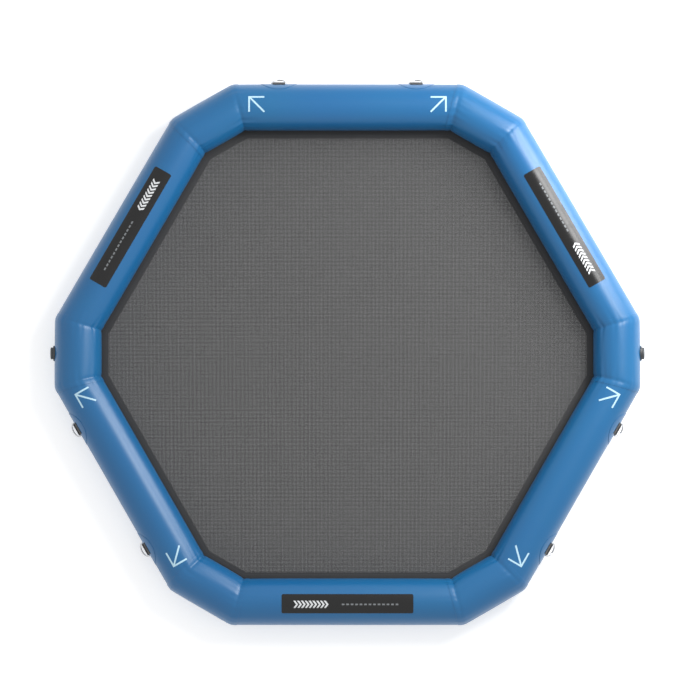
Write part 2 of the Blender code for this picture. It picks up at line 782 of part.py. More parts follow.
def valve_cap(name, frame, material, pivot):
    """The cup-shaped cap over the neck, with its half of the folded strap."""
    outline = [
        (0, CAP_FACE),
        (CAP_RADIUS - CAP_BEVEL, CAP_FACE),
        (CAP_RADIUS, CAP_FACE - CAP_BEVEL),
        (CAP_RADIUS, CAP_RIM),
        (CAP_INNER_RADIUS, CAP_RIM),
        (CAP_INNER_RADIUS, CAP_UNDER),
        (0, CAP_UNDER),
    ]
    cap = make(name, turned(outline), material, frame, pivot)
    reach = (CAP_RADIUS + CAP_INNER_RADIUS) / 2
    combine(cap, strap_tab(f"{name}_tab", reach, CAP_RIM, material, frame), "UNION")


def valve(run, tube_piece, finishes):
    """One inflation valve through the outer wall of a corner tube."""
    name = f"valve_{VALVE_RUNS[run]}"
    frame = valve_frame(run)
    valve_hole(tube_piece, frame)
    valve_body(f"{name}_body", frame, finishes["plastic"])
    valve_core(f"{name}_core", frame, finishes["plastic"])
    valve_gasket(f"{name}_gasket", frame, finishes["rubber"])
    valve_nut(f"{name}_backnut", frame, finishes["plastic"])
    valve_spring(f"{name}_spring", frame, finishes["steel"])
    valve_strap(f"{name}_strap", frame, finishes["rubber"])
    press = pivot_at(f"pivot_{name}_press", frame)
    valve_poppet(f"{name}_poppet", frame, finishes["rubber"], press)
    valve_stem(f"{name}_stem", frame, finishes["button"], press)
    fold = frame @ Matrix.Translation((-FOLD_DISTANCE, 0, FOLD_HEIGHT))
    valve_cap(f"{name}_cap", frame, finishes["cap"], pivot_at(f"pivot_{name}_cap", fold))


def clear_scene():
    """Starts from an empty scene."""
    for item in list(bpy.data.objects):
        bpy.data.objects.remove(item, do_unlink=True)


def build():
    """Makes every piece."""
    finishes = {
        "tube": finish("pvc_tube_fabric", (0.03, 0.17, 0.35), 0.38),
        "strip": finish("pvc_strip_charcoal", (0.05, 0.05, 0.05), 0.5),
        "mesh": finish("coated_mesh", (0.03, 0.03, 0.03), 0.7),
        "label": finish("label_rubber", (0.01, 0.01, 0.01), 0.45),
        "webbing": finish("webbing", (0.02, 0.02, 0.02), 0.85),
        "steel": finish("stainless_steel", (0.6, 0.6, 0.6), 0.25, 1.0),
        "plastic": finish("valve_plastic", (0.12, 0.12, 0.13), 0.4),
        "cap": finish("cap_plastic", (0.2, 0.2, 0.21), 0.45),
        "rubber": finish("valve_rubber", (0.02, 0.02, 0.02), 0.6),
        "button": finish("button_plastic", (0.6, 0.6, 0.6), 0.4),
    }
    for run in SIDE_NAMES:
        side_tube(run, finishes["tube"])
    corners = {run: corner_tube(run, finishes["tube"]) for run in CORNER_NAMES}
    for run in BAFFLE_RUNS:
        baffle(run, finishes["tube"])
    skirt(finishes["strip"])
    strip("mesh_border_upper", SKIRT_TOP + GAP, finishes["strip"])
    strip("mesh_border_lower", SKIRT_TOP - LAYER - GAP - STRIP_THICKNESS, finishes["strip"])
    mesh_panel(finishes["mesh"])
    for run in LABEL_RUNS:
        label_patch(run, finishes["label"])
    for name in RING_PLACES:
        tether_ring(name, finishes)
    for run in VALVE_RUNS:
        valve(run, corners[run], finishes)


clear_scene()
build()
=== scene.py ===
"""Looks of the inflatable water hammock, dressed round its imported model.

Metres, +Z up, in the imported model's frame. The ring has twelve runs of tube, numbered by the
direction that they face in steps of 30 degrees from +X: even runs are the corners, odd runs are
the sides. Seam k joins run k to run k + 1. Places are given by the distance along a run,
clockwise from above, and by how far out and up they are from the run's middle line.
"""

import json
import math

import bmesh
import bpy
import numpy as np
from mathutils import Matrix, Vector


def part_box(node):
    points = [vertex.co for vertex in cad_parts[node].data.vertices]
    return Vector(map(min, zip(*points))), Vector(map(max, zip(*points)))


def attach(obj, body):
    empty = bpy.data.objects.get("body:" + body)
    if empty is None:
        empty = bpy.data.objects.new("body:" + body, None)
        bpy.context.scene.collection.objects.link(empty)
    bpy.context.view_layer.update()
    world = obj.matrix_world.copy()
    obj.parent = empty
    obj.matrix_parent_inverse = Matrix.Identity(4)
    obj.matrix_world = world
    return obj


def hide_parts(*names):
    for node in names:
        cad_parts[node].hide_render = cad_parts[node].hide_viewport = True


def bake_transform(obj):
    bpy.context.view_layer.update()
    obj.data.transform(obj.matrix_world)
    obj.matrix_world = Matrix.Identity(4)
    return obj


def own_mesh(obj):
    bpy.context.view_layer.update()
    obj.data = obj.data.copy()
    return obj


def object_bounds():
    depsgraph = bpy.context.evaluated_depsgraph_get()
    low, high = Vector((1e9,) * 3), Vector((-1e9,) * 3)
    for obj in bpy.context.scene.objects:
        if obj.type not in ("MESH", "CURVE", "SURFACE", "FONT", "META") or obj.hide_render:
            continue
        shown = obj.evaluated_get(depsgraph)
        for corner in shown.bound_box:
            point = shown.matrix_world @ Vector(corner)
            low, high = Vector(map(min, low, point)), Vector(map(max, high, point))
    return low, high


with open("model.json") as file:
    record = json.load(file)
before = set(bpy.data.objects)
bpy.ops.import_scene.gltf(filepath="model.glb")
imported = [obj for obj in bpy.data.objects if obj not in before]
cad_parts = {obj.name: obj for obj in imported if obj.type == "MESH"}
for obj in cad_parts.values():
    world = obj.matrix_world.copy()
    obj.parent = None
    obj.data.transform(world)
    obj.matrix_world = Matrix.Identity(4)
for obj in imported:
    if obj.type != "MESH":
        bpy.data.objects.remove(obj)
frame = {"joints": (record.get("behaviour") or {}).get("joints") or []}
cad_low, cad_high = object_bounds()

TURN = 2 * math.pi
RUNS = 12
RUN_ANGLE = TURN / RUNS
MITRE = math.tan(RUN_ANGLE / 2)
UP = np.array((0.0, 0.0, 1.0))

CORNERS = {0: "right", 2: "upper_right", 4: "upper_left", 6: "left", 8: "lower_left", 10: "lower_right"}
SIDES = {1: "upper_right", 3: "top", 5: "upper_left", 7: "lower_left", 9: "bottom", 11: "lower_right"}
LABEL_RUNS, ARROW_RUNS = (1, 5, 9), (3, 7, 11)
BAFFLE_RUNS, VALVE_RUNS = {3: "top", 9: "bottom"}, {0: "right", 6: "left"}
# Each tether ring's run, and its side of the middle of that run.
RING_PLACES = {
    "top_left": (3, -1), "top_right": (3, 1),
    "lower_left_upper": (7, 1), "lower_left_lower": (7, -1),
    "lower_right_upper": (11, -1), "lower_right_lower": (11, 1),
}


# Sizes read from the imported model.


def height_of(node):
    """The lowest and highest point of a node."""
    low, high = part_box(node)
    return low.z, high.z


def along_valve(node):
    """How far a piece of the right-hand valve starts and ends from the tube's middle line."""
    low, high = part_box(node)
    return low.x - APOTHEMS[0], high.x - APOTHEMS[0]


def half_across(node):
    """Half the width in X of a node on the top side, or in Y of a piece of the right-hand valve."""
    low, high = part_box(node)
    return (high - low)[1 if node.startswith("valve") else 0] / 2


side_low, side_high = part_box("tube_side_top")
sleeve_low, sleeve_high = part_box("tube_corner_right")
TUBE_HEIGHT = (side_low.z + side_high.z) / 2
WALL = (side_high.z - side_low.z) / 2
SLEEVE = (sleeve_high.z - sleeve_low.z) / 2
# Distance of the middle line from the middle of the ring, and half the length: corners, sides.
APOTHEMS = (sleeve_high.x - SLEEVE, (side_low.y + side_high.y) / 2)
HALF_LENGTHS = tuple(
    (APOTHEMS[1 - k] - APOTHEMS[k] * math.cos(RUN_ANGLE)) / math.sin(RUN_ANGLE) for k in (0, 1)
)

JOINTS = {joint["name"]: joint for joint in frame["joints"]}
RING_AXIS_OUT = JOINTS["d_ring_top_left_hinge"]["pos_m"][1] - APOTHEMS[1]
RING_DISTANCE = abs(JOINTS["d_ring_top_left_hinge"]["pos_m"][0])
FOLD_AXIS = JOINTS["valve_right_cap_flip"]["pos_m"]

STRIP_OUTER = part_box("mesh_border_upper")[1].y - APOTHEMS[1]
NET_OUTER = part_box("mesh_panel")[1].y - APOTHEMS[1]
SKIRT_TOP = height_of("mesh_skirt")[1]
BARREL_END, MOUTH = along_valve("valve_right_body")
CORE_UNDER, CORE_FACE = along_valve("valve_right_core")
POPPET_UNDER, POPPET_FACE = along_valve("valve_right_poppet")
STEM_END, BUTTON_FACE = along_valve("valve_right_stem")
COLLAR_UNDER, COLLAR_FACE = along_valve("valve_right_strap")
CAP_RIM, CAP_FACE = along_valve("valve_right_cap")
FLANGE_RADIUS = half_across("valve_right_body")
CAP_RADIUS = half_across("valve_right_cap")
POPPET_RADIUS = half_across("valve_right_poppet")
WEBBING_HALF = half_across("d_ring_webbing_top_left")
PATCH_RADIUS = half_across("d_ring_patch_top_left")

# Sizes that repeat the solids'.
GAP = 0.0003
TUBE_WALL, LAP_LENGTH = 0.0010, 0.022
STRIP_WIDTH, STRIP_THICKNESS = 0.0383, 0.0010
SKIRT_OVERLAP, SKIRT_THICKNESS, SKIRT_FOOT = 0.022, 0.0010, math.radians(232.5)
NET_SAG, NET_TUCK = 0.015, 0.006
LABEL_LENGTH, LABEL_WIDTH, LABEL_THICKNESS, LABEL_OFFSET = 0.505, 0.075, 0.0008, 0.008
PATCH_THICKNESS, WEBBING_THICKNESS, WEBBING_TAIL = 0.0010, 0.0012, 0.036
RING_WIRE, RING_OPENING, RING_DEPTH, RING_CORNER = 0.006, 0.050, 0.034, 0.0035
RING_DROOP = math.radians(30)
BAFFLE_SEAM_DISTANCE, BAFFLE_RIM, BAFFLE_BULGE = 0.060, 0.020, 0.018
FLANGE_FACE = COLLAR_UNDER - GAP
NECK_RADIUS, BORE_RADIUS, BARREL_RADIUS = 0.020, 0.0155, 0.019
GASKET_WIDTH, GASKET_THICKNESS, NUT_WIDTH, NUT_THICKNESS = 0.009, 0.0012, 0.009, 0.007
CORE_RIM_WIDTH, HUB_RADIUS, ARM_WIDTH, ARMS = 0.002, 0.006, 0.003, 3
STEM_RADIUS, BUTTON_RADIUS, BUTTON_THICKNESS, STEM_FOOT_RADIUS = 0.0025, 0.0065, 0.003, 0.005
BUTTON_SLOT_WIDTH, BUTTON_SLOT_DEPTH, STEM_FOOT_THICKNESS = 0.002, 0.001, 0.002
SPRING_WIRE, SPRING_TURNS = 0.0009, 5
STRAP_THICKNESS, STRAP_COLLAR_WIDTH, STRAP_TAB_WIDTH = 0.0015, 0.004, 0.014
CAP_WALL, CAP_TOP = 0.0022, 0.0025

# The soft wall: swollen mid-run, welded along its underside, drawn into folds at its seams.
SWELL, SWELL_POWER = 0.0006, 4
WELD_START, WELD_END, WELD_EDGE = math.radians(-62), math.radians(-50), math.radians(0.4)
WELD_STEP = 0.0005
FOLD_DEPTH, FOLD_LENGTH, FOLD_SEED = 0.0030, 0.040, 40
# How many waves the folds' depth makes round the wall, and how many fewer their length makes.
FOLD_WAVES, FEWER_WAVES = (9, 14, 23), 4
INNER_SHARE, UNEVEN_SHARE = 0.75, 0.6
FOLD_POWER, FADE_POWER = 1.6, 1.5
CREASE_DEPTH, CREASE_WIDTH = 0.0016, 0.007
# The flap's weld holds the wall flat on its inner underside.
HELD_MIDDLE, HELD_REACH = math.radians(-134), math.radians(22)

# How finely the wall is cut: points round it, steps near a seam and how far they go on from it,
# and steps beyond.
AROUND, FINE_STEP, FINE_REACH, COARSE_STEP = 160, 0.005, 0.080, 0.022
SMOOTH_ANGLE = math.radians(40)
ROUND_STEPS, FINE_ROUND_STEPS = 96, 128
# Rounded corners: the steps of each, the least angle met, and how much of a side one may take.
CORNER_STEPS, LEAST_ANGLE, LARGEST_CUT = 4, 0.05, 0.45
# How finely a patch is cut: rows across it, the fewest steps along it, and the step aimed at.
PATCH_ROWS, PATCH_STEPS, PATCH_STEP = 28, 24, 0.012


# Places on the ring.


def directions(run):
    """The directions along a run and out of it."""
    angle = run * RUN_ANGLE
    return (math.sin(angle), -math.cos(angle), 0), (math.cos(angle), math.sin(angle), 0)


def place(run, distance, out, up):
    """Points at distances along a run, out and up from its middle line."""
    distance, out, up = np.broadcast_arrays(*[np.asarray(x, float) for x in (distance, out, up)])
    along, facing = [np.array(way) for way in directions(run)]
    points = (APOTHEMS[run % 2] + out)[..., None] * facing + distance[..., None] * along
    return points + (TUBE_HEIGHT + up)[..., None] * UP


def stretch(run, out):
    """Half the length of a run between its seams, at a distance out from its middle line."""
    return HALF_LENGTHS[run % 2] + out * MITRE


def run_frame(run, distance, out, up=0.0):
    """A frame on a run: X along it, Y facing out and Z up."""
    matrix = Matrix((*directions(run), (0, 0, 1))).transposed().to_4x4()
    matrix.translation = Vector(place(run, distance, out, up))
    return matrix


def reordered(matrix, *axes):
    """A frame with its axes in another order."""
    return Matrix([matrix.col[k] for k in (*axes, 3)]).transposed()


def valve_frame(run):
    """A frame on the tube's middle line: X up, Y along the run and Z facing out."""
    return reordered(run_frame(run, 0, 0), 2, 0, 1)


def folds(seam, from_seam, angle):
    """How deep the wall is drawn in near a seam, most on the inner side of the bend."""
    rng = np.random.default_rng(FOLD_SEED + seam % RUNS)
    ripple, length = 0.0, 0.0
    for waves in FOLD_WAVES:
        ripple = ripple + np.cos(waves * angle + rng.uniform(0, TURN)) / len(FOLD_WAVES)
        length = length + np.cos((waves - FEWER_WAVES) * angle + rng.uniform(0, TURN)) / len(FOLD_WAVES)
    inner = (1 - INNER_SHARE) + INNER_SHARE * (0.5 - 0.5 * np.cos(angle))
    depth = FOLD_DEPTH * inner * (0.5 + 0.5 * ripple) ** FOLD_POWER
    fade = np.exp(-((from_seam / (FOLD_LENGTH * (1 + UNEVEN_SHARE * length))) ** FADE_POWER))
    crease = CREASE_DEPTH * np.exp(-((from_seam / CREASE_WIDTH) ** 2))
    return (depth * fade + crease) * (1 - np.exp(-(((angle - HELD_MIDDLE) / HELD_REACH) ** 2)))


def wall_reach(run, distance, angle, radius=WALL):
    """How far the soft wall is from a run's middle line."""
    half = stretch(run, radius * np.cos(angle))
    edges = ((angle - WELD_START) / WELD_EDGE, (WELD_END - angle) / WELD_EDGE)
    weld = np.clip(edges[0], 0, 1) * np.clip(edges[1], 0, 1)
    reach = radius + SWELL * (1 - (distance / half) ** SWELL_POWER) + WELD_STEP * weld
    for seam, end in ((run - 1, 1), (run, -1)):
        reach = reach - folds(seam, np.maximum(half - end * distance, 0), angle)
    return reach


def on_wall(run, distance, arc, lift):
    """Points on a side's wall: arc is the way down from its top over its outer side."""
    angle = TURN / 4 - np.asarray(arc, float) / WALL
    reach = wall_reach(run, distance, angle) + lift
    return place(run, distance, reach * np.cos(angle), reach * np.sin(angle))


# Outlines and lengths.


def rectangle(left, low, right, high):
    """The corners of a rectangle."""
    return [(left, low), (right, low), (right, high), (left, high)]


def arc_points(width, height, angles, middle=(0, 0)):
    """Points at angles on an ellipse of half a width and half a height."""
    return [(middle[0] + width * math.cos(a), middle[1] + height * math.sin(a)) for a in angles]


def bend(start, corner, end, shares):
    """Points of a curve from start to end that a corner pulls on."""
    return [tuple(start.lerp(corner, s).lerp(corner.lerp(end, s), s)) for s in shares]


def rounded(corners, radius=0.0):
    """A closed outline with its corners rounded. A corner may name its own radius."""
    points = []
    for before, here, after in zip(corners[-1:] + corners[:-1], corners, corners[1:] + corners[:1]):
        corner = Vector(here[:2])
        back, forth = Vector(before[:2]) - corner, Vector(after[:2]) - corner
        own = here[2] if len(here) > 2 else radius
        cut = own / math.tan(max(back.angle(forth), LEAST_ANGLE) / 2)
        start = corner + back.normalized() * min(cut, LARGEST_CUT * back.length)
        end = corner + forth.normalized() * min(cut, LARGEST_CUT * forth.length)
        points += bend(start, corner, end, np.linspace(0, 1, CORNER_STEPS + 1 if cut else 1))
    return points


def with_edges(low, high, count, edge):
    """Steps from low to high, with one more close to each end for a soft edge."""
    return np.concatenate(((low,), np.linspace(low + edge, high - edge, count), (high,)))


def paths(points):
    """How far along a closed line each of its points is, and then its whole length."""
    steps = np.linalg.norm(np.diff(points, axis=0, append=points[:1]), axis=1)
    return np.concatenate(((0,), np.cumsum(steps)))


def grid(rows, columns):
    """A grid of texture places, in metres."""
    return np.stack(np.broadcast_arrays(np.reshape(rows, (-1, 1)), columns), -1)


# Making of meshes and pieces.


def finished_mesh(name, points, faces, corner_uv):
    """A closed mesh, smooth but for its edges, with its faces pointing outwards."""
    mesh = bpy.data.meshes.new(name)
    mesh.from_pydata(np.reshape(points, (-1, 3)).tolist(), [], faces)
    layer = mesh.uv_layers.new(name="metres")
    layer.data.foreach_set("uv", np.asarray(corner_uv, np.float32).ravel())
    bm = bmesh.new()
    bm.from_mesh(mesh)
    bmesh.ops.remove_doubles(bm, verts=bm.verts, dist=GAP / 100)
    bmesh.ops.recalc_face_normals(bm, faces=bm.faces)
    bm.to_mesh(mesh)
    bm.free()
    mesh.shade_smooth()
    mesh.set_sharp_from_angle(angle=SMOOTH_ANGLE)
    return mesh


def skin(name, rings, uv=None, ends="joined"):
    """A closed skin through rings of points, whose ends are joined, or capped across or by faces.

    uv has a column more than the rings have points, and a row more if their ends are joined.
    """
    rings = np.asarray(rings, float)
    count, size = rings.shape[:2]
    rows = count if ends == "joined" else count - 1
    if uv is None:
        uv = np.zeros((count + 1, size + 1, 2))
    i, j = np.mgrid[0:rows, 0:size]
    k, m = (i + 1) % count, (j + 1) % size
    quads = np.stack((i * size + j, i * size + m, k * size + m, k * size + j), -1)
    corners = np.stack((uv[i, j], uv[i, j + 1], uv[i + 1, j + 1], uv[i + 1, j]), 2).reshape(-1, 2)
    faces, corners = quads.reshape(-1, 4).tolist(), corners.tolist()
    for row in () if ends == "joined" else (0, count - 1):
        turns = [[*range(size)]]
        if ends == "across":
            turns = [[j, j + 1, size - 2 - j, size - 1 - j] for j in range(size // 2 - 1)]
        for turn in turns:
            faces.append([row * size + j for j in turn])
            corners += [uv[row, j].tolist() for j in turn]
    return finished_mesh(name, rings, faces, corners)


def combined(mesh, other, operation):
    """A mesh joined to another or cut by it."""
    items = [bpy.data.objects.new(part.name, part) for part in (mesh, other)]
    for item in items:
        bpy.context.scene.collection.objects.link(item)
    modifier = items[0].modifiers.new(other.name, "BOOLEAN")
    modifier.operation, modifier.solver, modifier.object = operation, "EXACT", items[1]
    shape = items[0].evaluated_get(bpy.context.evaluated_depsgraph_get())
    result = bpy.data.meshes.new_from_object(shape)
    for item in items:
        bpy.data.objects.remove(item)
    result.set_sharp_from_angle(angle=SMOOTH_ANGLE)
    return result


def piece(name, mesh, material, body="hammock", nodes=()):
    """A finished piece that rides on a body and stands for the solids that it replaces."""
    item = bpy.data.objects.new(name, mesh)
    bpy.context.scene.collection.objects.link(item)
    mesh.materials.clear()
    mesh.materials.append(material)
    if body:
        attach(item, body)
    if nodes:
        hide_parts(*nodes)
    return item


def turned(name, outline, matrix, steps=ROUND_STEPS):
    """A piece turned about Z in a frame. Its outline may change with the angle round the axis."""
    angles = np.linspace(0, TURN, steps, endpoint=False)
    sections = [np.array(outline(angle) if callable(outline) else outline) for angle in angles]
    rings = [
        [matrix @ Vector((r * math.cos(angle), r * math.sin(angle), z)) for r, z in section]
        for angle, section in zip(angles, sections)
    ]
    first = sections[0]
    radius = np.append(first[:, 0], first[0, 0]).mean()
    return skin(name, rings, grid(np.linspace(0, TURN, steps + 1) * radius, paths(first)))


def extruded(name, corners, low, high, matrix, edge=0.0):
    """A plate with a given outline, with softened edges, between two heights in a frame."""
    middle = np.mean(corners, axis=0)
    levels = ((low, edge), (low + edge, 0), (high - edge, 0), (high, edge))
    rings = []
    for height, inset in levels if edge else ((low, 0), (high, 0)):
        flat = [np.array(corner) for corner in corners]
        flat = [at + (middle - at) / np.linalg.norm(middle - at) * inset for at in flat]
        rings.append([matrix @ Vector((*at, height)) for at in flat])
    return skin(name, rings, ends="faces")


def swept(name, path, radius, axis, sides, closed=False):
    """A round wire along a path that lies roughly square to an axis."""
    path, axis = np.array(path), np.array(axis, float)
    before, after = np.roll(path, 1, 0), np.roll(path, -1, 0)
    if not closed:
        before[0], after[-1] = path[0], path[-1]
    turns = np.linspace(0, TURN, sides, endpoint=False)[:, None]
    rings = []
    for point, way in zip(path, after - before):
        way = way / np.linalg.norm(way)
        first = axis - way * axis.dot(way)
        first /= np.linalg.norm(first)
        second = np.cross(way, first)
        rings.append(point + radius * (np.cos(turns) * first + np.sin(turns) * second))
    uv = grid(paths(path), np.linspace(0, TURN * radius, sides + 1))
    return skin(name, rings, uv, "joined" if closed else "faces")


def wall_patch(name, run, distance, arc, half_length, half_width, half_length_at, thickness):
    """A patch that lies on a side's wall, whose half length changes over its width."""
    soft = thickness / 2
    across = with_edges(-half_width, half_width, PATCH_ROWS, soft)
    shares = with_edges(-1.0, 1.0, max(PATCH_STEPS, round(half_length / PATCH_STEP)), soft / half_length)
    rings, uv = [], []
    for k, offset in enumerate(across):
        along = shares * half_length_at(offset)
        lift = np.full(len(shares), GAP + thickness)
        lift[[0, -1]] -= soft
        if k in (0, len(across) - 1):
            lift -= soft
        top = on_wall(run, distance + along, arc + offset, lift)
        under = on_wall(run, distance + along, arc + offset, GAP)
        rings.append(np.concatenate((top, under[::-1])))
        flat = np.concatenate((along, along[::-1], along[:1]))
        uv.append(np.stack((flat, np.full(len(flat), offset)), -1))
    return skin(name, rings, np.array(uv), "across")


def wrapped(mesh, run, distance, arc, lift):
    """A flat mesh bent onto a side's wall, cut into slices so that it follows the tube."""
    bm = bmesh.new()
    bm.from_mesh(mesh)
    heights = [vertex.co.y for vertex in bm.verts]
    for height in np.arange(min(heights), max(heights), PRINT_SLICE)[1:]:
        everything = bm.verts[:] + bm.edges[:] + bm.faces[:]
        bmesh.ops.bisect_plane(bm, geom=everything, plane_co=(0, height, 0), plane_no=(0, 1, 0))
    for vertex in bm.verts:
        x, y, z = vertex.co
        vertex.co = Vector(on_wall(run, distance + x, arc + y, lift + z))
    bmesh.ops.recalc_face_normals(bm, faces=bm.faces)
    bm.to_mesh(mesh)
    bm.free()
    return mesh


# Node trees.

MATH, XYZ = "ShaderNodeMath", "ShaderNodeCombineXYZ"
REALIZE, INSTANCES = "GeometryNodeRealizeInstances", "GeometryNodeInstanceOnPoints"
MOVE, TRANSFORM = "GeometryNodeSetPosition", "GeometryNodeTransform"
ALIGN, HERE = "FunctionNodeAlignRotationToVector", "GeometryNodeInputPosition"
COORDINATES, NOISE = "ShaderNodeTexCoord", "ShaderNodeTexNoise"
BUMP, RANGE = "ShaderNodeBump", "ShaderNodeMapRange"


def linear(code):
    """The linear colour of an sRGB hex code."""
    shares = [int(code[k : k + 2], 16) / 255 for k in (1, 3, 5)]
    return (*[s / 12.92 if s <= 0.04045 else ((s + 0.055) / 1.055) ** 2.4 for s in shares], 1)


def feed(node, inputs):
    """Gives a node's inputs a value, a socket to read, or a node whose first output they read."""
    for socket, given in inputs.items():
        if isinstance(given, bpy.types.Node):
            given = given.outputs[0]
        if isinstance(given, bpy.types.NodeSocket):
            node.id_data.links.new(given, node.inputs[socket])
        else:
            node.inputs[socket].default_value = given


def add(tree, kind, inputs=None, **settings):
    """Adds a node with its settings, and feeds its inputs."""
    node = tree.nodes.new(kind)
    for name, value in settings.items():
        setattr(node, name, value)
    feed(node, inputs or {})
    return node


def node_tree(name, sockets):
    """A Geometry Nodes tree with named inputs, and the outputs of the node that gives them."""
    tree = bpy.data.node_groups.new(name, "GeometryNodeTree")
    tree.interface.new_socket(name="Geometry", in_out="OUTPUT", socket_type="NodeSocketGeometry")
    for title, kind in {"Geometry": "Geometry", **sockets, "Material": "Material"}.items():
        tree.interface.new_socket(name=title, in_out="INPUT", socket_type=f"NodeSocket{kind}")
    return tree, add(tree, "NodeGroupInput").outputs


def close_tree(tree, source, value):
    """Ends a tree: its instances are made real and get their material."""
    real = add(tree, REALIZE, {"Geometry": source})
    dressed = add(tree, "GeometryNodeSetMaterial", {"Geometry": real, "Material": value["Material"]})
    add(tree, "NodeGroupOutput", {"Geometry": dressed})
    return tree


def baked(name, tree, inputs, base=None):
    """The plain mesh that a node tree gives for its named inputs."""
    maker = bpy.data.objects.new(name, base or bpy.data.meshes.new(name))
    bpy.context.scene.collection.objects.link(maker)
    modifier = maker.modifiers.new(tree.name, "NODES")
    modifier.node_group = tree
    for item in tree.interface.items_tree:
        if item.in_out == "INPUT" and item.name in inputs:
            modifier[item.identifier] = inputs[item.name]
    shape = maker.evaluated_get(bpy.context.evaluated_depsgraph_get())
    mesh = bpy.data.meshes.new_from_object(shape)
    maker.modifiers.remove(modifier)
    bpy.data.objects.remove(maker)
    return mesh


def net_tree():
    """Two layers of straight strands, cut to the ring's twelve sides and hung between them."""
    sizes = ("Side Reach", "Corner Reach", "Hang Reach", "Spacing", "Unevenness", "Strand Width")
    sockets = dict.fromkeys((*sizes, "Strand Depth", "Layer Drop", "Height", "Sag"), "Float")
    tree, value = node_tree("laid_net", {**sockets, "Long Strands": "Int", "Cross Strands": "Int"})
    line = add(tree, "GeometryNodeCurvePrimitiveLine", {"Start": (-1, 0, 0), "End": (1, 0, 0)})
    bar = add(tree, "GeometryNodeResampleCurve", {"Curve": line, "Count": NET_STEPS})
    layers = add(tree, "GeometryNodeJoinGeometry")
    here = add(tree, HERE)
    split = add(tree, "ShaderNodeSeparateXYZ", {"Vector": here})
    away = add(tree, MATH, {0: split.outputs["Y"]}, operation="ABSOLUTE")
    gap = add(tree, XYZ, {"Y": value["Spacing"]})
    below = add(tree, MATH, {0: value["Unevenness"], 1: -1.0}, operation="MULTIPLY")
    for count, reaches, turn in (
        ("Long Strands", ("Corner Reach", "Side Reach", "Corner Reach"), 0.0),
        ("Cross Strands", ("Side Reach", "Corner Reach", "Side Reach"), TURN / 4),
    ):
        # A row of bars about the middle, each a little off its even place.
        row = add(tree, "GeometryNodeMeshLine", {"Count": value[count], "Offset": gap})
        last = add(tree, MATH, {0: value[count], 1: -1.0}, operation="ADD")
        width = add(tree, MATH, {0: last, 1: value["Spacing"]}, operation="MULTIPLY")
        back = add(tree, MATH, {0: width, 1: -0.5}, operation="MULTIPLY")
        limits = {2: below, 3: value["Unevenness"], "Seed": NET_SEED}
        uneven = add(tree, "FunctionNodeRandomValue", limits)
        shift = add(tree, MATH, {0: back, 1: uneven.outputs[1]}, operation="ADD")
        offset = add(tree, XYZ, {"Y": shift})
        rows = add(tree, MOVE, {"Geometry": row, "Offset": offset})
        bars = add(tree, INSTANCES, {"Points": rows, "Instance": bar})
        real = add(tree, REALIZE, {"Geometry": bars})
        # Each bar ends where the nearest of the ring's sides cuts it off.
        limit = None
        for k, reach in enumerate(reaches):
            slope = {0: away, 1: -math.sin(k * RUN_ANGLE), 2: value[reach]}
            left = add(tree, MATH, slope, operation="MULTIPLY_ADD")
            cut = add(tree, MATH, {0: left, 1: math.cos(k * RUN_ANGLE)}, operation="DIVIDE")
            limit = add(tree, MATH, {0: limit or cut, 1: cut}, operation="MINIMUM")
        along = add(tree, MATH, {0: split.outputs["X"], 1: limit}, operation="MULTIPLY")
        spot = add(tree, XYZ, {"X": along, "Y": split.outputs["Y"]})
        cut_bars = add(tree, MOVE, {"Geometry": real, "Position": spot})
        # The second layer is turned across the first and lies under it.
        drop = add(tree, MATH, {0: value["Layer Drop"], 1: -1.0 if turn else 0.0}, operation="MULTIPLY")
        sink = add(tree, XYZ, {"Z": drop})
        turning = {"Geometry": cut_bars, "Translation": sink, "Rotation": (0, 0, turn)}
        feed(layers, {0: add(tree, TRANSFORM, turning)})
    # The sag fades to nothing at each of the long sides.
    inverse = add(tree, MATH, {0: 1.0, 1: value["Hang Reach"]}, operation="DIVIDE")
    hang = value["Sag"]
    for run in (1, 3, 5):
        out = add(tree, "ShaderNodeVectorMath", {0: here, 1: directions(run)[1]}, operation="DOT_PRODUCT")
        share = add(tree, MATH, {0: out.outputs["Value"], 1: inverse}, operation="MULTIPLY")
        square = add(tree, MATH, {0: share, 1: share}, operation="MULTIPLY")
        left = add(tree, MATH, {0: 1.0, 1: square}, operation="SUBTRACT", use_clamp=True)
        hang = add(tree, MATH, {0: hang, 1: left}, operation="MULTIPLY")
    level = add(tree, MATH, {0: value["Height"], 1: hang}, operation="SUBTRACT")
    hung = add(tree, MOVE, {"Geometry": layers, "Offset": add(tree, XYZ, {"Z": level})})
    # Each strand is flat, so its section has to stay upright along it.
    upright = add(tree, "GeometryNodeSetCurveNormal", {"Curve": hung}, mode="Z_UP")
    ring = add(tree, "GeometryNodeCurvePrimitiveCircle", {"Resolution": NET_SIDES, "Radius": 0.5})
    size = add(tree, XYZ, {"X": value["Strand Width"], "Y": value["Strand Depth"], "Z": 1.0})
    profile = add(tree, TRANSFORM, {"Geometry": ring, "Scale": size})
    sweep = {"Curve": upright, "Profile Curve": profile, "Fill Caps": True}
    return close_tree(tree, add(tree, "GeometryNodeCurveToMesh", sweep), value)


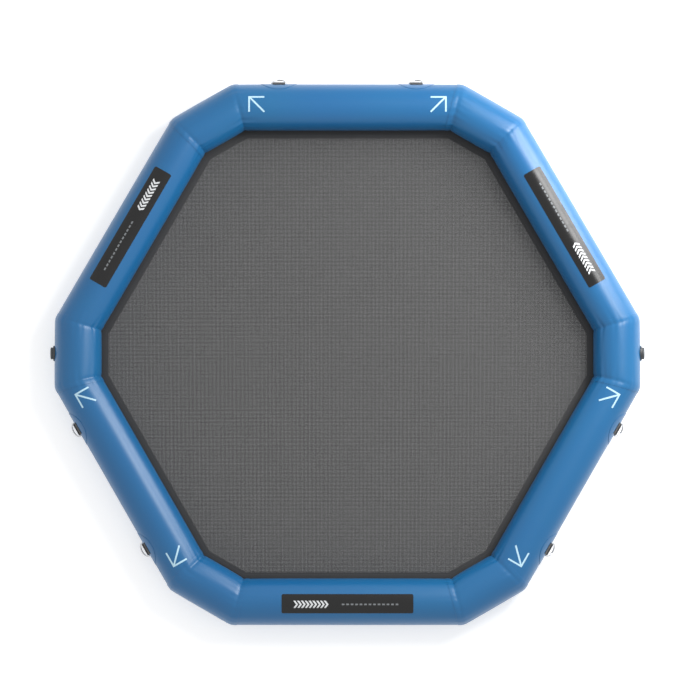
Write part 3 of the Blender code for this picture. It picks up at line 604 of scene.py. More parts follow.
def stitch_tree():
    """Thread stitches laid along the lines that it is given."""
    tree, value = node_tree("stitches", {"Pitch": "Float", "Stitch": "Vector", "Face": "Vector"})
    lines = add(tree, "GeometryNodeMeshToCurve", {"Mesh": value["Geometry"]})
    steps = {"Curve": lines, "Length": value["Pitch"]}
    spots = add(tree, "GeometryNodeCurveToPoints", steps, mode="LENGTH")
    thread = add(tree, "GeometryNodeMeshUVSphere", {"Segments": 6, "Rings": 4, "Radius": 0.5})
    along = add(tree, ALIGN, {"Vector": spots.outputs["Tangent"]}, axis="X")
    flat = add(tree, ALIGN, {"Rotation": along, "Vector": value["Face"]}, axis="Z", pivot_axis="X")
    laid = {"Points": spots, "Instance": thread, "Rotation": flat, "Scale": value["Stitch"]}
    return close_tree(tree, add(tree, INSTANCES, laid), value)


def row_tree():
    """A row of copies of the shape that it is given."""
    tree, value = node_tree("row", {"Count": "Int", "Step": "Vector"})
    spots = add(tree, "GeometryNodeMeshLine", {"Count": value["Count"], "Offset": value["Step"]})
    copies = add(tree, INSTANCES, {"Points": spots, "Instance": value["Geometry"]})
    return close_tree(tree, copies, value)


def ring_tree():
    """Copies of a shape in a ring about Z, each with its X axis pointing outwards."""
    tree, value = node_tree("ring_of_ribs", {"Count": "Int", "Radius": "Float"})
    spots = add(tree, "GeometryNodeMeshCircle", {"Vertices": value["Count"], "Radius": value["Radius"]})
    outward = add(tree, ALIGN, {"Vector": add(tree, HERE)}, axis="X", pivot_axis="Z")
    copies = {"Points": spots, "Instance": value["Geometry"], "Rotation": outward}
    return close_tree(tree, add(tree, INSTANCES, copies), value)


# Materials.

# Sockets of the Mix node for colours: its factor, its two colours and their mix.
MIX_FACTOR, MIX_FIRST, MIX_SECOND, MIX_RESULT = 0, 6, 7, 2
# How far apart a wave texture's bands are at scale 1.
WAVE_PERIOD = TURN / 20
# How far roughness drifts, on coated cloth and on a grained surface, and over how many grains.
CLOTH_DRIFT, GRAIN_DRIFT, GRAINS_TO_A_PATCH = 0.06, 0.07, 30


def new_material(name, colour, **values):
    """A material with a Principled shader, its constants set on the shader itself."""
    material = bpy.data.materials.new(name)
    material.use_nodes = True
    shader = material.node_tree.nodes["Principled BSDF"]
    feed(shader, {"Base Color": linear(colour)})
    feed(shader, {socket.replace("_", " "): value for socket, value in values.items()})
    return material, material.node_tree, shader


def patchy(tree, shader, where, size, roughness, drift):
    """Makes a shader's roughness drift from patch to patch, and gives the noise of the patches."""
    patches = add(tree, NOISE, {"Scale": 1 / size, "Detail": 3.0, "Vector": where})
    limits = {"To Min": roughness - drift, "To Max": roughness + drift}
    feed(shader, {"Roughness": add(tree, RANGE, {**limits, "Value": patches})})
    return patches


def crossed_waves(tree, where, pitches, operation):
    """Waves along and across a cloth, brought together."""
    waves = {}
    for k, (direction, pitch) in enumerate(zip("XY", pitches)):
        inputs = {"Scale": WAVE_PERIOD / pitch, "Vector": where}
        waves[k] = add(tree, "ShaderNodeTexWave", inputs, bands_direction=direction).outputs["Fac"]
    return add(tree, MATH, waves, operation=operation)


def pvc_coated_fabric(name, colour, cloud_colour, roughness, coat):
    """Polyester cloth coated with soft PVC: an even sheen over threads that just show through,
    and shade that is a little cloudy where the coating is thicker. The threads are drawn twice
    as coarse as real ones, which are too fine to show."""
    material, tree, shader = new_material(name, colour, IOR=1.48, Coat_Weight=coat, Coat_Roughness=0.3)
    where = add(tree, COORDINATES).outputs
    clouds = patchy(tree, shader, where["Object"], CLOUD_SIZE, roughness, CLOTH_DRIFT)
    weave = crossed_waves(tree, where["UV"], (THREAD_PITCH, THREAD_PITCH), "ADD")
    dents = add(tree, NOISE, {"Scale": 1 / DENT_SIZE, "Detail": 2.0, "Vector": where["Object"]})
    soft = add(tree, BUMP, {"Strength": 0.5, "Distance": DENT_DEPTH, "Height": dents})
    fine = {"Strength": 0.35, "Distance": THREAD_DEPTH, "Height": weave, "Normal": soft}
    colours = {MIX_FACTOR: clouds, MIX_FIRST: linear(colour), MIX_SECOND: linear(cloud_colour)}
    shade = add(tree, "ShaderNodeMix", colours, data_type="RGBA").outputs[MIX_RESULT]
    feed(shader, {"Base Color": shade, "Normal": add(tree, BUMP, fine)})
    return material


def grained(name, colour, grain, depth, **values):
    """A plain surface with a fine grain of bumps, as moulding or calendering leaves it."""
    material, tree, shader = new_material(name, colour, **values)
    where = add(tree, COORDINATES).outputs["Object"]
    noise = add(tree, NOISE, {"Scale": 1 / grain, "Detail": 2.0, "Vector": where})
    feed(shader, {"Normal": add(tree, BUMP, {"Strength": 0.6, "Distance": depth, "Height": noise})})
    patchy(tree, shader, where, grain * GRAINS_TO_A_PATCH, values["Roughness"], GRAIN_DRIFT)
    return material


def woven_webbing(name, colour, light):
    """Woven polyester webbing: dull, in small raised ribs, with painted highlight on their tops and painted
    shade between them.
    """
    material, tree, shader = new_material(name, colour, Roughness=0.8, IOR=1.5, Sheen_Weight=0.2)
    where = add(tree, COORDINATES).outputs["UV"]
    ribs = crossed_waves(tree, where, (WEBBING_PICKS, WEBBING_RIBS), "MULTIPLY")
    bump = add(tree, BUMP, {"Strength": 0.9, "Distance": WEBBING_RIBS / 4, "Height": ribs})
    # The lighter colour follows the ribs' height: painted highlight on their tops and painted shade between
    # them.
    colours = {MIX_FACTOR: ribs, MIX_FIRST: linear(colour), MIX_SECOND: linear(light)}
    shade = add(tree, "ShaderNodeMix", colours, data_type="RGBA").outputs[MIX_RESULT]
    feed(shader, {"Base Color": shade, "Normal": bump})
    return material


def polished_stainless(name, colour):
    """Polished stainless steel wire: bright, with faint lines drawn along it."""
    material, tree, shader = new_material(name, colour, Metallic=1.0, Roughness=0.2)
    where = add(tree, COORDINATES).outputs["UV"]
    scale = (1 / (DRAWN_LINE * DRAWN_STRETCH), 1 / DRAWN_LINE, 1.0)
    drawn = add(tree, "ShaderNodeMapping", {"Scale": scale, "Vector": where})
    lines = add(tree, NOISE, {"Scale": 1.0, "Detail": 2.0, "Vector": drawn})
    blur = add(tree, RANGE, {"To Min": 0.14, "To Max": 0.3, "Value": lines})
    bump = add(tree, BUMP, {"Strength": 0.15, "Distance": DRAWN_LINE, "Height": lines})
    feed(shader, {"Roughness": blur, "Normal": bump})
    return material


def seen_rays(tree):
    """1 for the rays that show a thing itself, and 0 for those that only take light from it."""
    rays = add(tree, "ShaderNodeLightPath").outputs
    seen = rays[SEEN_BY[0]]
    for ray in SEEN_BY[1:]:
        seen = add(tree, MATH, {0: seen, 1: rays[ray]}, operation="MAXIMUM")
    return seen


def studio_floor():
    """A pale matt floor that keeps shadows and shows white in the view and in reflections."""
    material, tree, shader = new_material("matt_white_paper", FLOOR_COLOUR, Roughness=0.9)
    glow = add(tree, MATH, {0: seen_rays(tree), 1: FLOOR_GLOW}, operation="MULTIPLY")
    feed(shader, {"Emission Color": linear(WHITE), "Specular IOR Level": 0.0, "Emission Strength": glow})
    return material


def studio_world():
    """An even white surround that shows as white and lights the object more softly."""
    world = bpy.data.worlds.new("studio")
    bpy.context.scene.world = world
    world.use_nodes = True
    tree = world.node_tree
    tree.nodes.clear()
    parts = {0: seen_rays(tree)}
    for k, strength in enumerate((SURROUND_LEVEL, 1.0)):
        parts[k + 1] = add(tree, "ShaderNodeBackground", {"Color": linear(WHITE), "Strength": strength})
    add(tree, "ShaderNodeOutputWorld", {"Surface": add(tree, "ShaderNodeMixShader", parts)})


# Camera, lamps and floor.

PHOTO_PIXELS, METRES_PER_PIXEL = 700, 0.003875
# The middle of the photo's frame, from the middle of the ring: right and up.
FRAME_OFFSET_PIXELS = (2.5, 3.4)
CAMERA_DISTANCE, CAMERA_LEAN, SENSOR_MILLIMETRES = 14.0, math.radians(4), 36.0

SEEN_BY = ("Is Camera Ray", "Is Glossy Ray", "Is Transmission Ray")
WHITE, FLOOR_COLOUR = "#FFFFFF", "#F2F2F2"
SURROUND_LEVEL, FLOOR_GLOW, FLOOR_HALF, FLOOR_THICKNESS = 0.66, 0.45, 150.0, 0.01
# Each lamp: its direction from the middle, distance, height, size and power.
LAMPS = {
    "key_soft_box": (math.radians(36), 3.4, 4.0, 1.8, 104.0),
    "middle_soft_box": (math.radians(42), 2.7, 1.6, 1.6, 38.0),
    "low_soft_box": (math.radians(34), 2.1, 0.6, 0.9, 13.0),
}


def make_studio():
    """The camera nearly straight above the ring, soft lamps at the upper right and a pale floor."""
    scene = bpy.context.scene
    scene.view_settings.view_transform = "Standard"
    data = bpy.data.cameras.new("photo_camera")
    data.sensor_width = SENSOR_MILLIMETRES
    data.lens = SENSOR_MILLIMETRES * CAMERA_DISTANCE / (PHOTO_PIXELS * METRES_PER_PIXEL)
    camera = bpy.data.objects.new("photo_camera", data)
    aim = Vector((*[offset * METRES_PER_PIXEL for offset in FRAME_OFFSET_PIXELS], TUBE_HEIGHT))
    camera.location = aim + CAMERA_DISTANCE * Vector((0, -math.sin(CAMERA_LEAN), math.cos(CAMERA_LEAN)))
    camera.rotation_euler = (CAMERA_LEAN, 0, 0)
    scene.collection.objects.link(camera)
    scene.camera = camera

    for name, (azimuth, distance, height, size, power) in LAMPS.items():
        light = bpy.data.lights.new(name, "AREA")
        light.shape, light.size, light.energy = "DISK", size, power
        lamp = bpy.data.objects.new(name, light)
        lamp.location = (distance * math.cos(azimuth), distance * math.sin(azimuth), height)
        lamp.rotation_euler = (-lamp.location).to_track_quat("-Z", "Y").to_euler()
        scene.collection.objects.link(lamp)

    low, corners = cad_low.z - GAP, rectangle(-FLOOR_HALF, -FLOOR_HALF, FLOOR_HALF, FLOOR_HALF)
    rings = [[(*corner, level) for corner in corners] for level in (low - FLOOR_THICKNESS, low)]
    floor = bpy.data.objects.new("studio_floor", skin("studio_floor", rings, ends="faces"))
    floor.data.materials.append(studio_floor())
    scene.collection.objects.link(floor)
    studio_world()


# Air tubes.

TUBE_BLUE, TUBE_BLUE_CLOUD = "#0A609B", "#0B6799"
CHARCOAL, CHARCOAL_CLOUD = "#2A2A2B", "#303031"
THREAD_PITCH, CLOUD_SIZE, DENT_SIZE, DENT_DEPTH, THREAD_DEPTH = 0.0024, 0.35, 0.07, 0.0006, 0.00012
LAP_STEPS, DOME_STEPS, BAFFLE_CLEARANCE = 5, 14, FOLD_DEPTH / 10

EVEN_ANGLES = np.linspace(-TURN / 2, TURN / 2, AROUND, endpoint=False)
WELD_ANGLES = (WELD_START, WELD_START + WELD_EDGE, WELD_END - WELD_EDGE, WELD_END)
WALL_ANGLES = np.sort(np.concatenate((EVEN_ANGLES, WELD_ANGLES)))


def wall_ring(run, end, from_seam, radius):
    """A ring of points round the wall, at a distance from the seam at one end of a run."""
    cosine, sine = np.cos(WALL_ANGLES), np.sin(WALL_ANGLES)
    nominal = end * (stretch(run, radius * cosine) - from_seam)
    reach = wall_reach(run, nominal, WALL_ANGLES, radius)
    distance = end * (stretch(run, reach * cosine) - from_seam)
    return place(run, distance, reach * cosine, np.maximum(reach * sine, -TUBE_HEIGHT))


def stations(half):
    """Distances from the middle of a run as shares, from end to end, closer near its seams."""
    fine = min(FINE_REACH, half)
    steps = np.linspace(0, fine, round(fine / FINE_STEP) + 1)
    if half > fine:
        coarse = np.linspace(fine, half, math.ceil((half - fine) / COARSE_STEP) + 1)
        steps = np.concatenate((steps, coarse[1:]))
    shares = 1 - steps / half
    return np.concatenate((-shares[:-1], shares[::-1]))


def run_rings(run, radius):
    """Rings of the wall from the seam at a run's start to the one at its end, and their places."""
    shares, rings = stations(HALF_LENGTHS[run % 2]), []
    for share in shares:
        from_seam = (1 - abs(share)) * stretch(run, radius * np.cos(WALL_ANGLES))
        rings.append(wall_ring(run, 1 if share >= 0 else -1, from_seam, radius))
    return rings, [share * HALF_LENGTHS[run % 2] for share in shares]


def double_wall(name, outer, over, inner, under):
    """A wall with two faces, from the rings of each and their places along the tube."""
    around = np.append(WALL_ANGLES, WALL_ANGLES[0] + TURN) * WALL
    return skin(name, outer + inner[::-1], grid(over + under[::-1] + over[:1], around))


def air_tube(run, material):
    """A long run of tube, open at its mitred ends, which lie inside the sleeves."""
    name = f"air_tube_{SIDES[run]}"
    mesh = double_wall(name, *run_rings(run, WALL), *run_rings(run, WALL - TUBE_WALL))
    return piece(name, mesh, material, nodes=[f"tube_side_{SIDES[run]}"])


def sleeve_layer(run, radius, edge):
    """Rings of a sleeve from one lapped end to the other. An edge draws its ends in."""
    laps = np.linspace(LAP_LENGTH, 0, LAP_STEPS + 1)[:-1]
    laps[0] -= edge
    steps = [(lap, 0) for lap in laps]
    if edge:
        steps.insert(0, (LAP_LENGTH, edge))
    before = [wall_ring((run + 1) % RUNS, 1, lap, radius - inset) for lap, inset in steps]
    after = [wall_ring((run - 1) % RUNS, -1, lap, radius - inset) for lap, inset in steps[::-1]]
    middle, places = run_rings(run, radius)
    half = stretch(run, 0)
    places = [-half - lap for lap, _ in steps] + places + [half + lap for lap, _ in steps[::-1]]
    return before + middle + after, places


def corner_sleeve(run, material):
    """A short run of tube whose ends bend round and lap over the side tubes."""
    name = f"corner_sleeve_{CORNERS[run]}"
    mesh = double_wall(name, *sleeve_layer(run, SLEEVE, GAP), *sleeve_layer(run, SLEEVE - TUBE_WALL, 0))
    if run in VALVE_RUNS:
        outline = rectangle(0, SLEEVE / 2, BARREL_RADIUS + GAP, MOUTH)
        mesh = combined(mesh, turned(f"{name}_drill", outline, valve_frame(run)), "DIFFERENCE")
    return piece(name, mesh, material, nodes=[f"tube_corner_{CORNERS[run]}"])


def bulkhead(run, material):
    """A domed bulkhead with a rim bonded inside the tube."""
    rim = WALL - TUBE_WALL - GAP - BAFFLE_CLEARANCE
    inside, hollow = rim - TUBE_WALL, BAFFLE_BULGE - TUBE_WALL
    outline = [
        (rim * math.sin(angle), BAFFLE_BULGE * math.cos(angle))
        for angle in np.linspace(0, TURN / 4, DOME_STEPS)
    ]
    outline += [(rim, -BAFFLE_RIM), (inside, -BAFFLE_RIM)]
    for angle in np.linspace(TURN / 4, 0, DOME_STEPS):
        outline.append((inside * math.sin(angle), hollow * math.cos(angle) - TUBE_WALL / 4))
    matrix = reordered(run_frame(run, stretch(run, 0) - BAFFLE_SEAM_DISTANCE, 0), 2, 1, 0)
    mesh = turned(f"air_bulkhead_{BAFFLE_RUNS[run]}", outline, matrix)
    return piece(mesh.name, mesh, material, nodes=[f"chamber_baffle_{BAFFLE_RUNS[run]}"])


# Skirt, strips and net.

STRIP_STATIONS = 12
# The strips' ripple between corners: its height, its waves in radians to the metre, and how far
# it moves on from run to run.
STRIP_RIPPLE, RIPPLE_WAVES, RIPPLE_SHIFT = 0.0006, 31, 2.1
# The crown between two rows of stitches, and how steeply it rises from them.
STRIP_CROWN, CROWN_RISE, CROWN_STEPS = 0.0004, 12, 17
SKIRT_ARC_STEPS, SKIRT_LEVEL_STEPS = 7, 4
# Stitches: how far apart they are, and the length, width and height of one.
STITCH_PITCH, STITCH = 0.0062, (0.0046, 0.0010, 0.0008)
THREAD_COLOUR, NET_COLOUR = "#5A5B5D", "#4A4A4A"
# Rows of stitches on the strips, as shares of the strip's width from its inner edge.
STITCH_ROW_SHARES = (0.08, 0.26, 0.76)
# The net's strands, about as close together as the render can show.
NET_SPACING, NET_UNEVENNESS = 0.0052, 0.00012
STRAND_WIDTH, STRAND_DEPTH, NET_LAYER_DROP = 0.0038, 0.0005, 0.00042
NET_STEPS, NET_SIDES, NET_SEED = 15, 6, 3


def band_line(out, up, ripple):
    """Points round the whole ring at one place of a band's outline."""
    points, shares = [], np.linspace(-1, 1, STRIP_STATIONS, endpoint=False)
    for run in range(RUNS, 0, -1):
        distance = shares * stretch(run % RUNS, out)
        wave = ripple * np.sin(distance * RIPPLE_WAVES + run * RIPPLE_SHIFT) * (1 - shares**2)
        points.append(place(run % RUNS, distance, out, up - TUBE_HEIGHT + wave))
    return np.concatenate(points)


def band(name, outline, material, node, ripple=0.0):
    """A closed band round the whole ring, from its outline of distances out and heights."""
    lines = [band_line(out, up, ripple) for out, up in outline]
    along = paths(lines[0])
    mesh = skin(name, lines, grid(paths(outline), along)[..., ::-1])
    item = piece(name, mesh, material, nodes=[node])
    return item


def skirt_outline():
    """The flap's outline: welded round the tube's underside, then level to the strips."""
    face, under_face = SLEEVE + GAP, SLEEVE + GAP + SKIRT_THICKNESS
    drop, inner = TUBE_HEIGHT - SKIRT_TOP, STRIP_OUTER - SKIRT_OVERLAP
    start = TURN / 2 + math.asin(drop / face)
    under_start = TURN / 2 + math.asin((drop + SKIRT_THICKNESS) / under_face)
    middle = (0, TUBE_HEIGHT)
    hugging = arc_points(face, face, np.linspace(SKIRT_FOOT, start, SKIRT_ARC_STEPS), middle)
    angles = np.linspace(under_start, SKIRT_FOOT, SKIRT_ARC_STEPS)
    outside = arc_points(under_face, under_face, angles, middle)
    level = [(out, SKIRT_TOP) for out in np.linspace(STRIP_OUTER, inner, SKIRT_LEVEL_STEPS)]
    low = SKIRT_TOP - SKIRT_THICKNESS
    below = [(out, low) for out in np.linspace(inner, STRIP_OUTER, SKIRT_LEVEL_STEPS)]
    return hugging + level + below + outside


def strip_outline(low):
    """A strip's outline, with soft edges and a slight crown between its rows of stitches."""
    high, inner, soft = low + STRIP_THICKNESS, STRIP_OUTER - STRIP_WIDTH, STRIP_THICKNESS / 3
    top = []
    for share in np.linspace(0, 1, CROWN_STEPS)[1:-1]:
        from_row = min(abs(share - row) for row in (0, *STITCH_ROW_SHARES, 1))
        rise = STRIP_CROWN * min(1, CROWN_RISE * from_row)
        top.append((inner + share * STRIP_WIDTH, high - soft / 2 + rise))
    under = [(out, low) for out, _ in reversed(top)]
    left = [(inner + soft, low), (inner, low + soft), (inner, high - soft), (inner + soft, high - soft / 2)]
    right = [(2 * inner + STRIP_WIDTH - out, up) for out, up in reversed(left)]
    return left + top + right + under


def stitched(name, tree, lines, closed, material, inputs):
    """Stitches along lines of points, which may close on themselves."""
    bm = bmesh.new()
    for points in lines:
        spots = [bm.verts.new(point) for point in points]
        for here, there in zip(spots, spots[1:] + spots[:1] if closed else spots[1:]):
            bm.edges.new((here, there))
    mesh = bpy.data.meshes.new(name)
    bm.to_mesh(mesh)
    bm.free()
    return piece(name, baked(name, tree, {**inputs, "Material": material}, mesh), material)


def strip_stitches(name, height, face, material, tree):
    """Rows of stitches round a strip."""
    outs = [STRIP_OUTER - STRIP_WIDTH * (1 - share) for share in STITCH_ROW_SHARES]
    lines = [band_line(out, height, STRIP_RIPPLE) for out in outs]
    inputs = {"Pitch": STITCH_PITCH, "Stitch": STITCH, "Face": face}
    return stitched(name, tree, lines, True, material, inputs)


def net_panel(material):
    """The net, stretched between the strips and hanging a little in the middle."""
    side, corner = APOTHEMS[1] + NET_OUTER, APOTHEMS[0] + NET_OUTER
    inputs = {
        "Side Reach": side,
        "Corner Reach": corner,
        "Hang Reach": APOTHEMS[1] + STRIP_OUTER - STRIP_WIDTH + NET_TUCK,
        "Spacing": NET_SPACING,
        "Unevenness": NET_UNEVENNESS,
        "Strand Width": STRAND_WIDTH,
        "Strand Depth": STRAND_DEPTH,
        "Layer Drop": NET_LAYER_DROP,
        "Height": SKIRT_TOP - STRAND_DEPTH / 2,
        "Sag": NET_SAG,
        "Long Strands": 2 * math.floor(side / NET_SPACING) + 1,
        "Cross Strands": 2 * math.floor(corner / NET_SPACING) + 1,
        "Material": material,
    }
    mesh = baked("net_panel", net_tree(), inputs)
    item = piece("net_panel", mesh, material, nodes=["mesh_panel"])
    return item


# Labels and printed arrows.

LABEL_CORNER, INK_THICKNESS, PRINT_SLICE = 0.006, 0.00012, 0.004
LABEL_BLACK, WHITE_INK, GREY_INK, ARROW_INK = "#070708", "#E3E6E8", "#7A7E81", "#BFE3F4"
# White chevrons at a label's start, then grey bars: places along the label, from its middle, and
# the way down to their middle line from the tube's top.
CHEVRON_START, CHEVRON_COUNT, CHEVRON_PITCH = 0.208, 9, 0.0146
CHEVRON_HEIGHT, CHEVRON_WIDTH, CHEVRON_DEPTH = 0.028, 0.0080, 0.0110
BAR_START, BAR_COUNT, BAR_PITCH, BAR_LENGTH, BAR_HEIGHT = 0.022, 13, 0.0172, 0.0105, 0.0060
LABEL_PRINT_ARC = 0.010
# Arrows: where the tip is on its side, and the lengths of its head and shaft.
ARROW_TIP, ARROW_TIP_ARC = 0.384, 0.033
ARROW_HEAD, ARROW_SHAFT, ARROW_STROKE = 0.062, 0.088, 0.0066


def label(run, material):
    """A black patch welded along the top of a side."""
    half_length, half_width = LABEL_LENGTH / 2, LABEL_WIDTH / 2

    def half_length_at(offset):
        past = max(0.0, abs(offset) - (half_width - LABEL_CORNER))
        return half_length - LABEL_CORNER + math.sqrt(max(LABEL_CORNER**2 - past**2, 0))

    size = (half_length, half_width, half_length_at, LABEL_THICKNESS)
    mesh = wall_patch(f"label_{SIDES[run]}", run, 0, LABEL_OFFSET, *size)
    return piece(mesh.name, mesh, material, nodes=[f"label_patch_{SIDES[run]}"])


def label_prints(run, white, grey, tree):
    """The print on a label: a row of white chevrons and a row of grey bars."""
    half, tip, width = CHEVRON_HEIGHT / 2, -CHEVRON_DEPTH, CHEVRON_WIDTH
    chevron = [(0, half), (tip, 0), (0, -half), (width, -half), (tip + width, 0), (width, half)]
    bar = rectangle(0, 0, -BAR_LENGTH, BAR_HEIGHT)
    for kind, corners, start, low, count, pitch, ink in (
        ("chevrons", chevron, CHEVRON_START - width, LABEL_PRINT_ARC, CHEVRON_COUNT, CHEVRON_PITCH, white),
        ("bars", bar, BAR_START, LABEL_PRINT_ARC - BAR_HEIGHT / 2, BAR_COUNT, BAR_PITCH, grey),
    ):
        name = f"label_{kind}_{SIDES[run]}"
        shape = extruded(name, corners, 0, INK_THICKNESS, Matrix.Identity(4))
        row = baked(name, tree, {"Count": count, "Step": (-pitch, 0, 0), "Material": ink}, shape)
        piece(name, wrapped(row, run, start, low, GAP + LABEL_THICKNESS), ink)


def arrow_prints(run, ink):
    """Two thin printed arrows that point along a side and outwards."""
    head, stroke = ARROW_HEAD, ARROW_STROKE
    half, shaft = ARROW_STROKE / math.sqrt(2), ARROW_SHAFT / math.sqrt(2)
    corners = [
        (0, 0), (-head, 0), (-head, -stroke), (-stroke - half, -stroke),
        (-shaft - half / 2, -shaft + half / 2), (-shaft + half / 2, -shaft - half / 2),
        (-stroke, -stroke - half), (-stroke, -head), (0, -head),
    ]
    for side, word in ((-1, "first"), (1, "second")):
        name = f"printed_arrow_{SIDES[run]}_{word}"
        outline = [(side * x, y) for x, y in corners]
        mesh = extruded(name, outline, 0, INK_THICKNESS, Matrix.Identity(4))
        piece(name, wrapped(mesh, run, side * ARROW_TIP, ARROW_TIP_ARC, GAP / 3), ink)


# Tether rings.

# The way down from the tube's top to the middle of its outer side.
SIDE_ARC = TURN / 4 * WALL
# A round patch's rows are as long as at this share of their way out, so that the last is no point.
PATCH_EDGE_SHARE = 0.985
WEBBING_PICKS, WEBBING_RIBS = 0.0022, 0.0016
# Lines left by drawing the wire: their width, and how many times as long they are.
DRAWN_LINE, DRAWN_STRETCH = 0.0002, 40
SEWN_WIDTH, SEWN_START, SEWN_END, SEWN_STEPS = 0.034, 0.011, 0.032, 7
WEBBING_STITCH_PITCH, WEBBING_STITCH = 0.0036, (0.0030, 0.0008, 0.0008)
KEEPER_FACE = GAP * 2 + PATCH_THICKNESS
# Where a tail of webbing leaves the wall, in lengths of the loop's radius.
TAIL_LEAVES = 2.6
TAIL_STEPS, BEND_STEPS, LOOP_STEPS, KEEPER_ROWS = 8, 7, 9, 9
RING_CORNER_STEPS, RING_BOW_STEPS, RING_BAR_STEPS, RING_SIDES = 7, 41, 8, 20


def welded_patch(name, run, distance, material):
    """A round patch welded to the outer wall under the webbing."""

    def half_length_at(offset):
        return math.sqrt(PATCH_RADIUS**2 - (offset * PATCH_EDGE_SHARE) ** 2)

    size = (PATCH_RADIUS, PATCH_RADIUS, half_length_at, PATCH_THICKNESS)
    mesh = wall_patch(f"welded_patch_{name}", run, distance, SIDE_ARC, *size)
    return piece(mesh.name, mesh, material, nodes=[f"d_ring_patch_{name}"])


def keeper_path(reach, lift):
    """One face of the webbing, out and up: a tail on the patch, the loop, and the other tail."""
    radius = WALL + SWELL + lift
    arcs = np.linspace(WEBBING_TAIL, TAIL_LEAVES * reach, TAIL_STEPS)
    tail = arc_points(radius, radius, arcs / WALL)
    corner = Vector((radius * math.cos(reach / WALL), reach))
    shares = np.linspace(0, 1, BEND_STEPS)[1:-1]
    upper = tail + bend(Vector(tail[-1]), corner, Vector((RING_AXIS_OUT, reach)), shares)
    upper += arc_points(reach, reach, np.linspace(TURN / 4, 0, LOOP_STEPS), (RING_AXIS_OUT, 0))
    return upper + [(out, -up) for out, up in reversed(upper[:-1])]


def webbing_keeper(name, run, distance, materials, tree):
    """The webbing that holds a ring, sewn to its patch in two boxes with crosses."""
    reach = RING_WIRE / 2 + GAP
    near = keeper_path(reach, KEEPER_FACE)
    far = keeper_path(reach + WEBBING_THICKNESS, KEEPER_FACE + WEBBING_THICKNESS)
    outline = np.array(near + far[::-1])
    middle = (np.array(near) + np.array(far)) / 2
    middle = np.concatenate((middle, middle[::-1]))
    offsets, rings = with_edges(-WEBBING_HALF, WEBBING_HALF, KEEPER_ROWS, WEBBING_THICKNESS / 4), []
    for offset in offsets:
        section = middle + (outline - middle) * (0.5 if abs(offset) == WEBBING_HALF else 1.0)
        rings.append(place(run, distance + offset, section[:, 0], section[:, 1]))
    mesh = skin(f"webbing_keeper_{name}", rings, grid(offsets, paths(outline))[..., ::-1], "across")
    piece(mesh.name, mesh, materials["webbing"], nodes=[f"d_ring_webbing_{name}"])

    lines, lift, half = [], KEEPER_FACE + WEBBING_THICKNESS + GAP, SEWN_WIDTH / 2
    for side in (-1, 1):
        box = [np.array(corner) for corner in rectangle(-half, side * SEWN_START, half, side * SEWN_END)]
        for a, b in ((0, 1), (1, 2), (2, 3), (3, 0), (0, 2), (1, 3)):
            line = [box[a] + (box[b] - box[a]) * share for share in np.linspace(0, 1, SEWN_STEPS)]
            lines.append([on_wall(run, distance + x, SIDE_ARC - up, lift) for x, up in line])
    facing = tuple(run_frame(run, 0, 0).col[1][:3])
    inputs = {"Pitch": WEBBING_STITCH_PITCH, "Stitch": WEBBING_STITCH, "Face": facing}
    thread = materials["webbing_thread"]
    stitched(f"webbing_stitches_{name}", tree, lines, False, thread, inputs)


def tether_ring(name, run, distance, material):
    """A D-ring of round wire, its bar in the webbing, hanging a little off the wall."""
    side, corner = (RING_OPENING + RING_WIRE) / 2, RING_CORNER
    right = [
        (side - corner + corner * math.sin(angle), -corner + corner * math.cos(angle))
        for angle in np.linspace(0, TURN / 4, RING_CORNER_STEPS)
    ]
    angles = np.linspace(0, TURN / 2, RING_BOW_STEPS)[1:-1]
    bow = arc_points(side, corner - RING_DEPTH, angles, (0, -corner))
    left = [(-x, z) for x, z in reversed(right)]
    bar = [(x, 0.0) for x in np.linspace(corner - side, side - corner, RING_BAR_STEPS)[1:-1]]
    hinge = run_frame(run, distance, RING_AXIS_OUT) @ Matrix.Rotation(RING_DROOP, 4, "X")
    path = [hinge @ Vector((x, 0, z)) for x, z in right + bow + left + bar]
    title = f"tether_ring_{name}"
    mesh = swept(title, path, RING_WIRE / 2, hinge.col[1][:3], RING_SIDES, closed=True)
    return piece(title, mesh, material, f"d_ring_{name}", [f"d_ring_{name}"])


# Inflation valves. Heights are from the tube's middle line, along the valve.

GROOVE_IN, GROOVE_OUT, GROOVE_DEPTH = 0.0262, 0.0276, 0.0006
DISH_RADIUS, DISH_DEPTH, NUB_RADIUS = 0.0165, 0.0007, 0.0050
# The disc's thickness at its edge, and its nose as a share of its radius.
DISC_THICKNESS, DISC_NOSE_SHARE = 0.0015, 0.45
SPRING_STEPS, SPRING_SIDES, FOLD_STEPS, FOLD_ROWS, BUTTON_STEPS, RIB_SIDES = 28, 10, 13, 5, 64, 8
# Radii of moulded edges: four small ones that recur, then the larger ones by place.
SHARP, CRISP, FINE, SOFT = 0.0002, 0.0003, 0.0004, 0.0006
MOUTH_EDGE, NECK_EDGE, RIM_EDGE, NUT_EDGE = 0.0010, 0.0012, 0.0016, 0.0012
DISH_EDGE, BUTTON_EDGE, DISC_EDGE, NOSE_EDGE = 0.0008, 0.0009, 0.0008, 0.002
# Grip ribs round the cap, and half the outline of one: out and up, as shares of its size.
GRIP_RIBS, RIB_HEIGHT, RIB_RADIUS = 40, 0.0062, 0.0006
RIB_OUTLINE = [(0, 0.5), (0.42, 0.47), (0.85, 0.38), (1.0, 0.25)]


def wall_height(radius, angle, lift):
    """The height of the tube's wall under a point of a piece that is turned about the valve."""
    return math.sqrt((SLEEVE + lift) ** 2 - (radius * math.cos(angle)) ** 2)


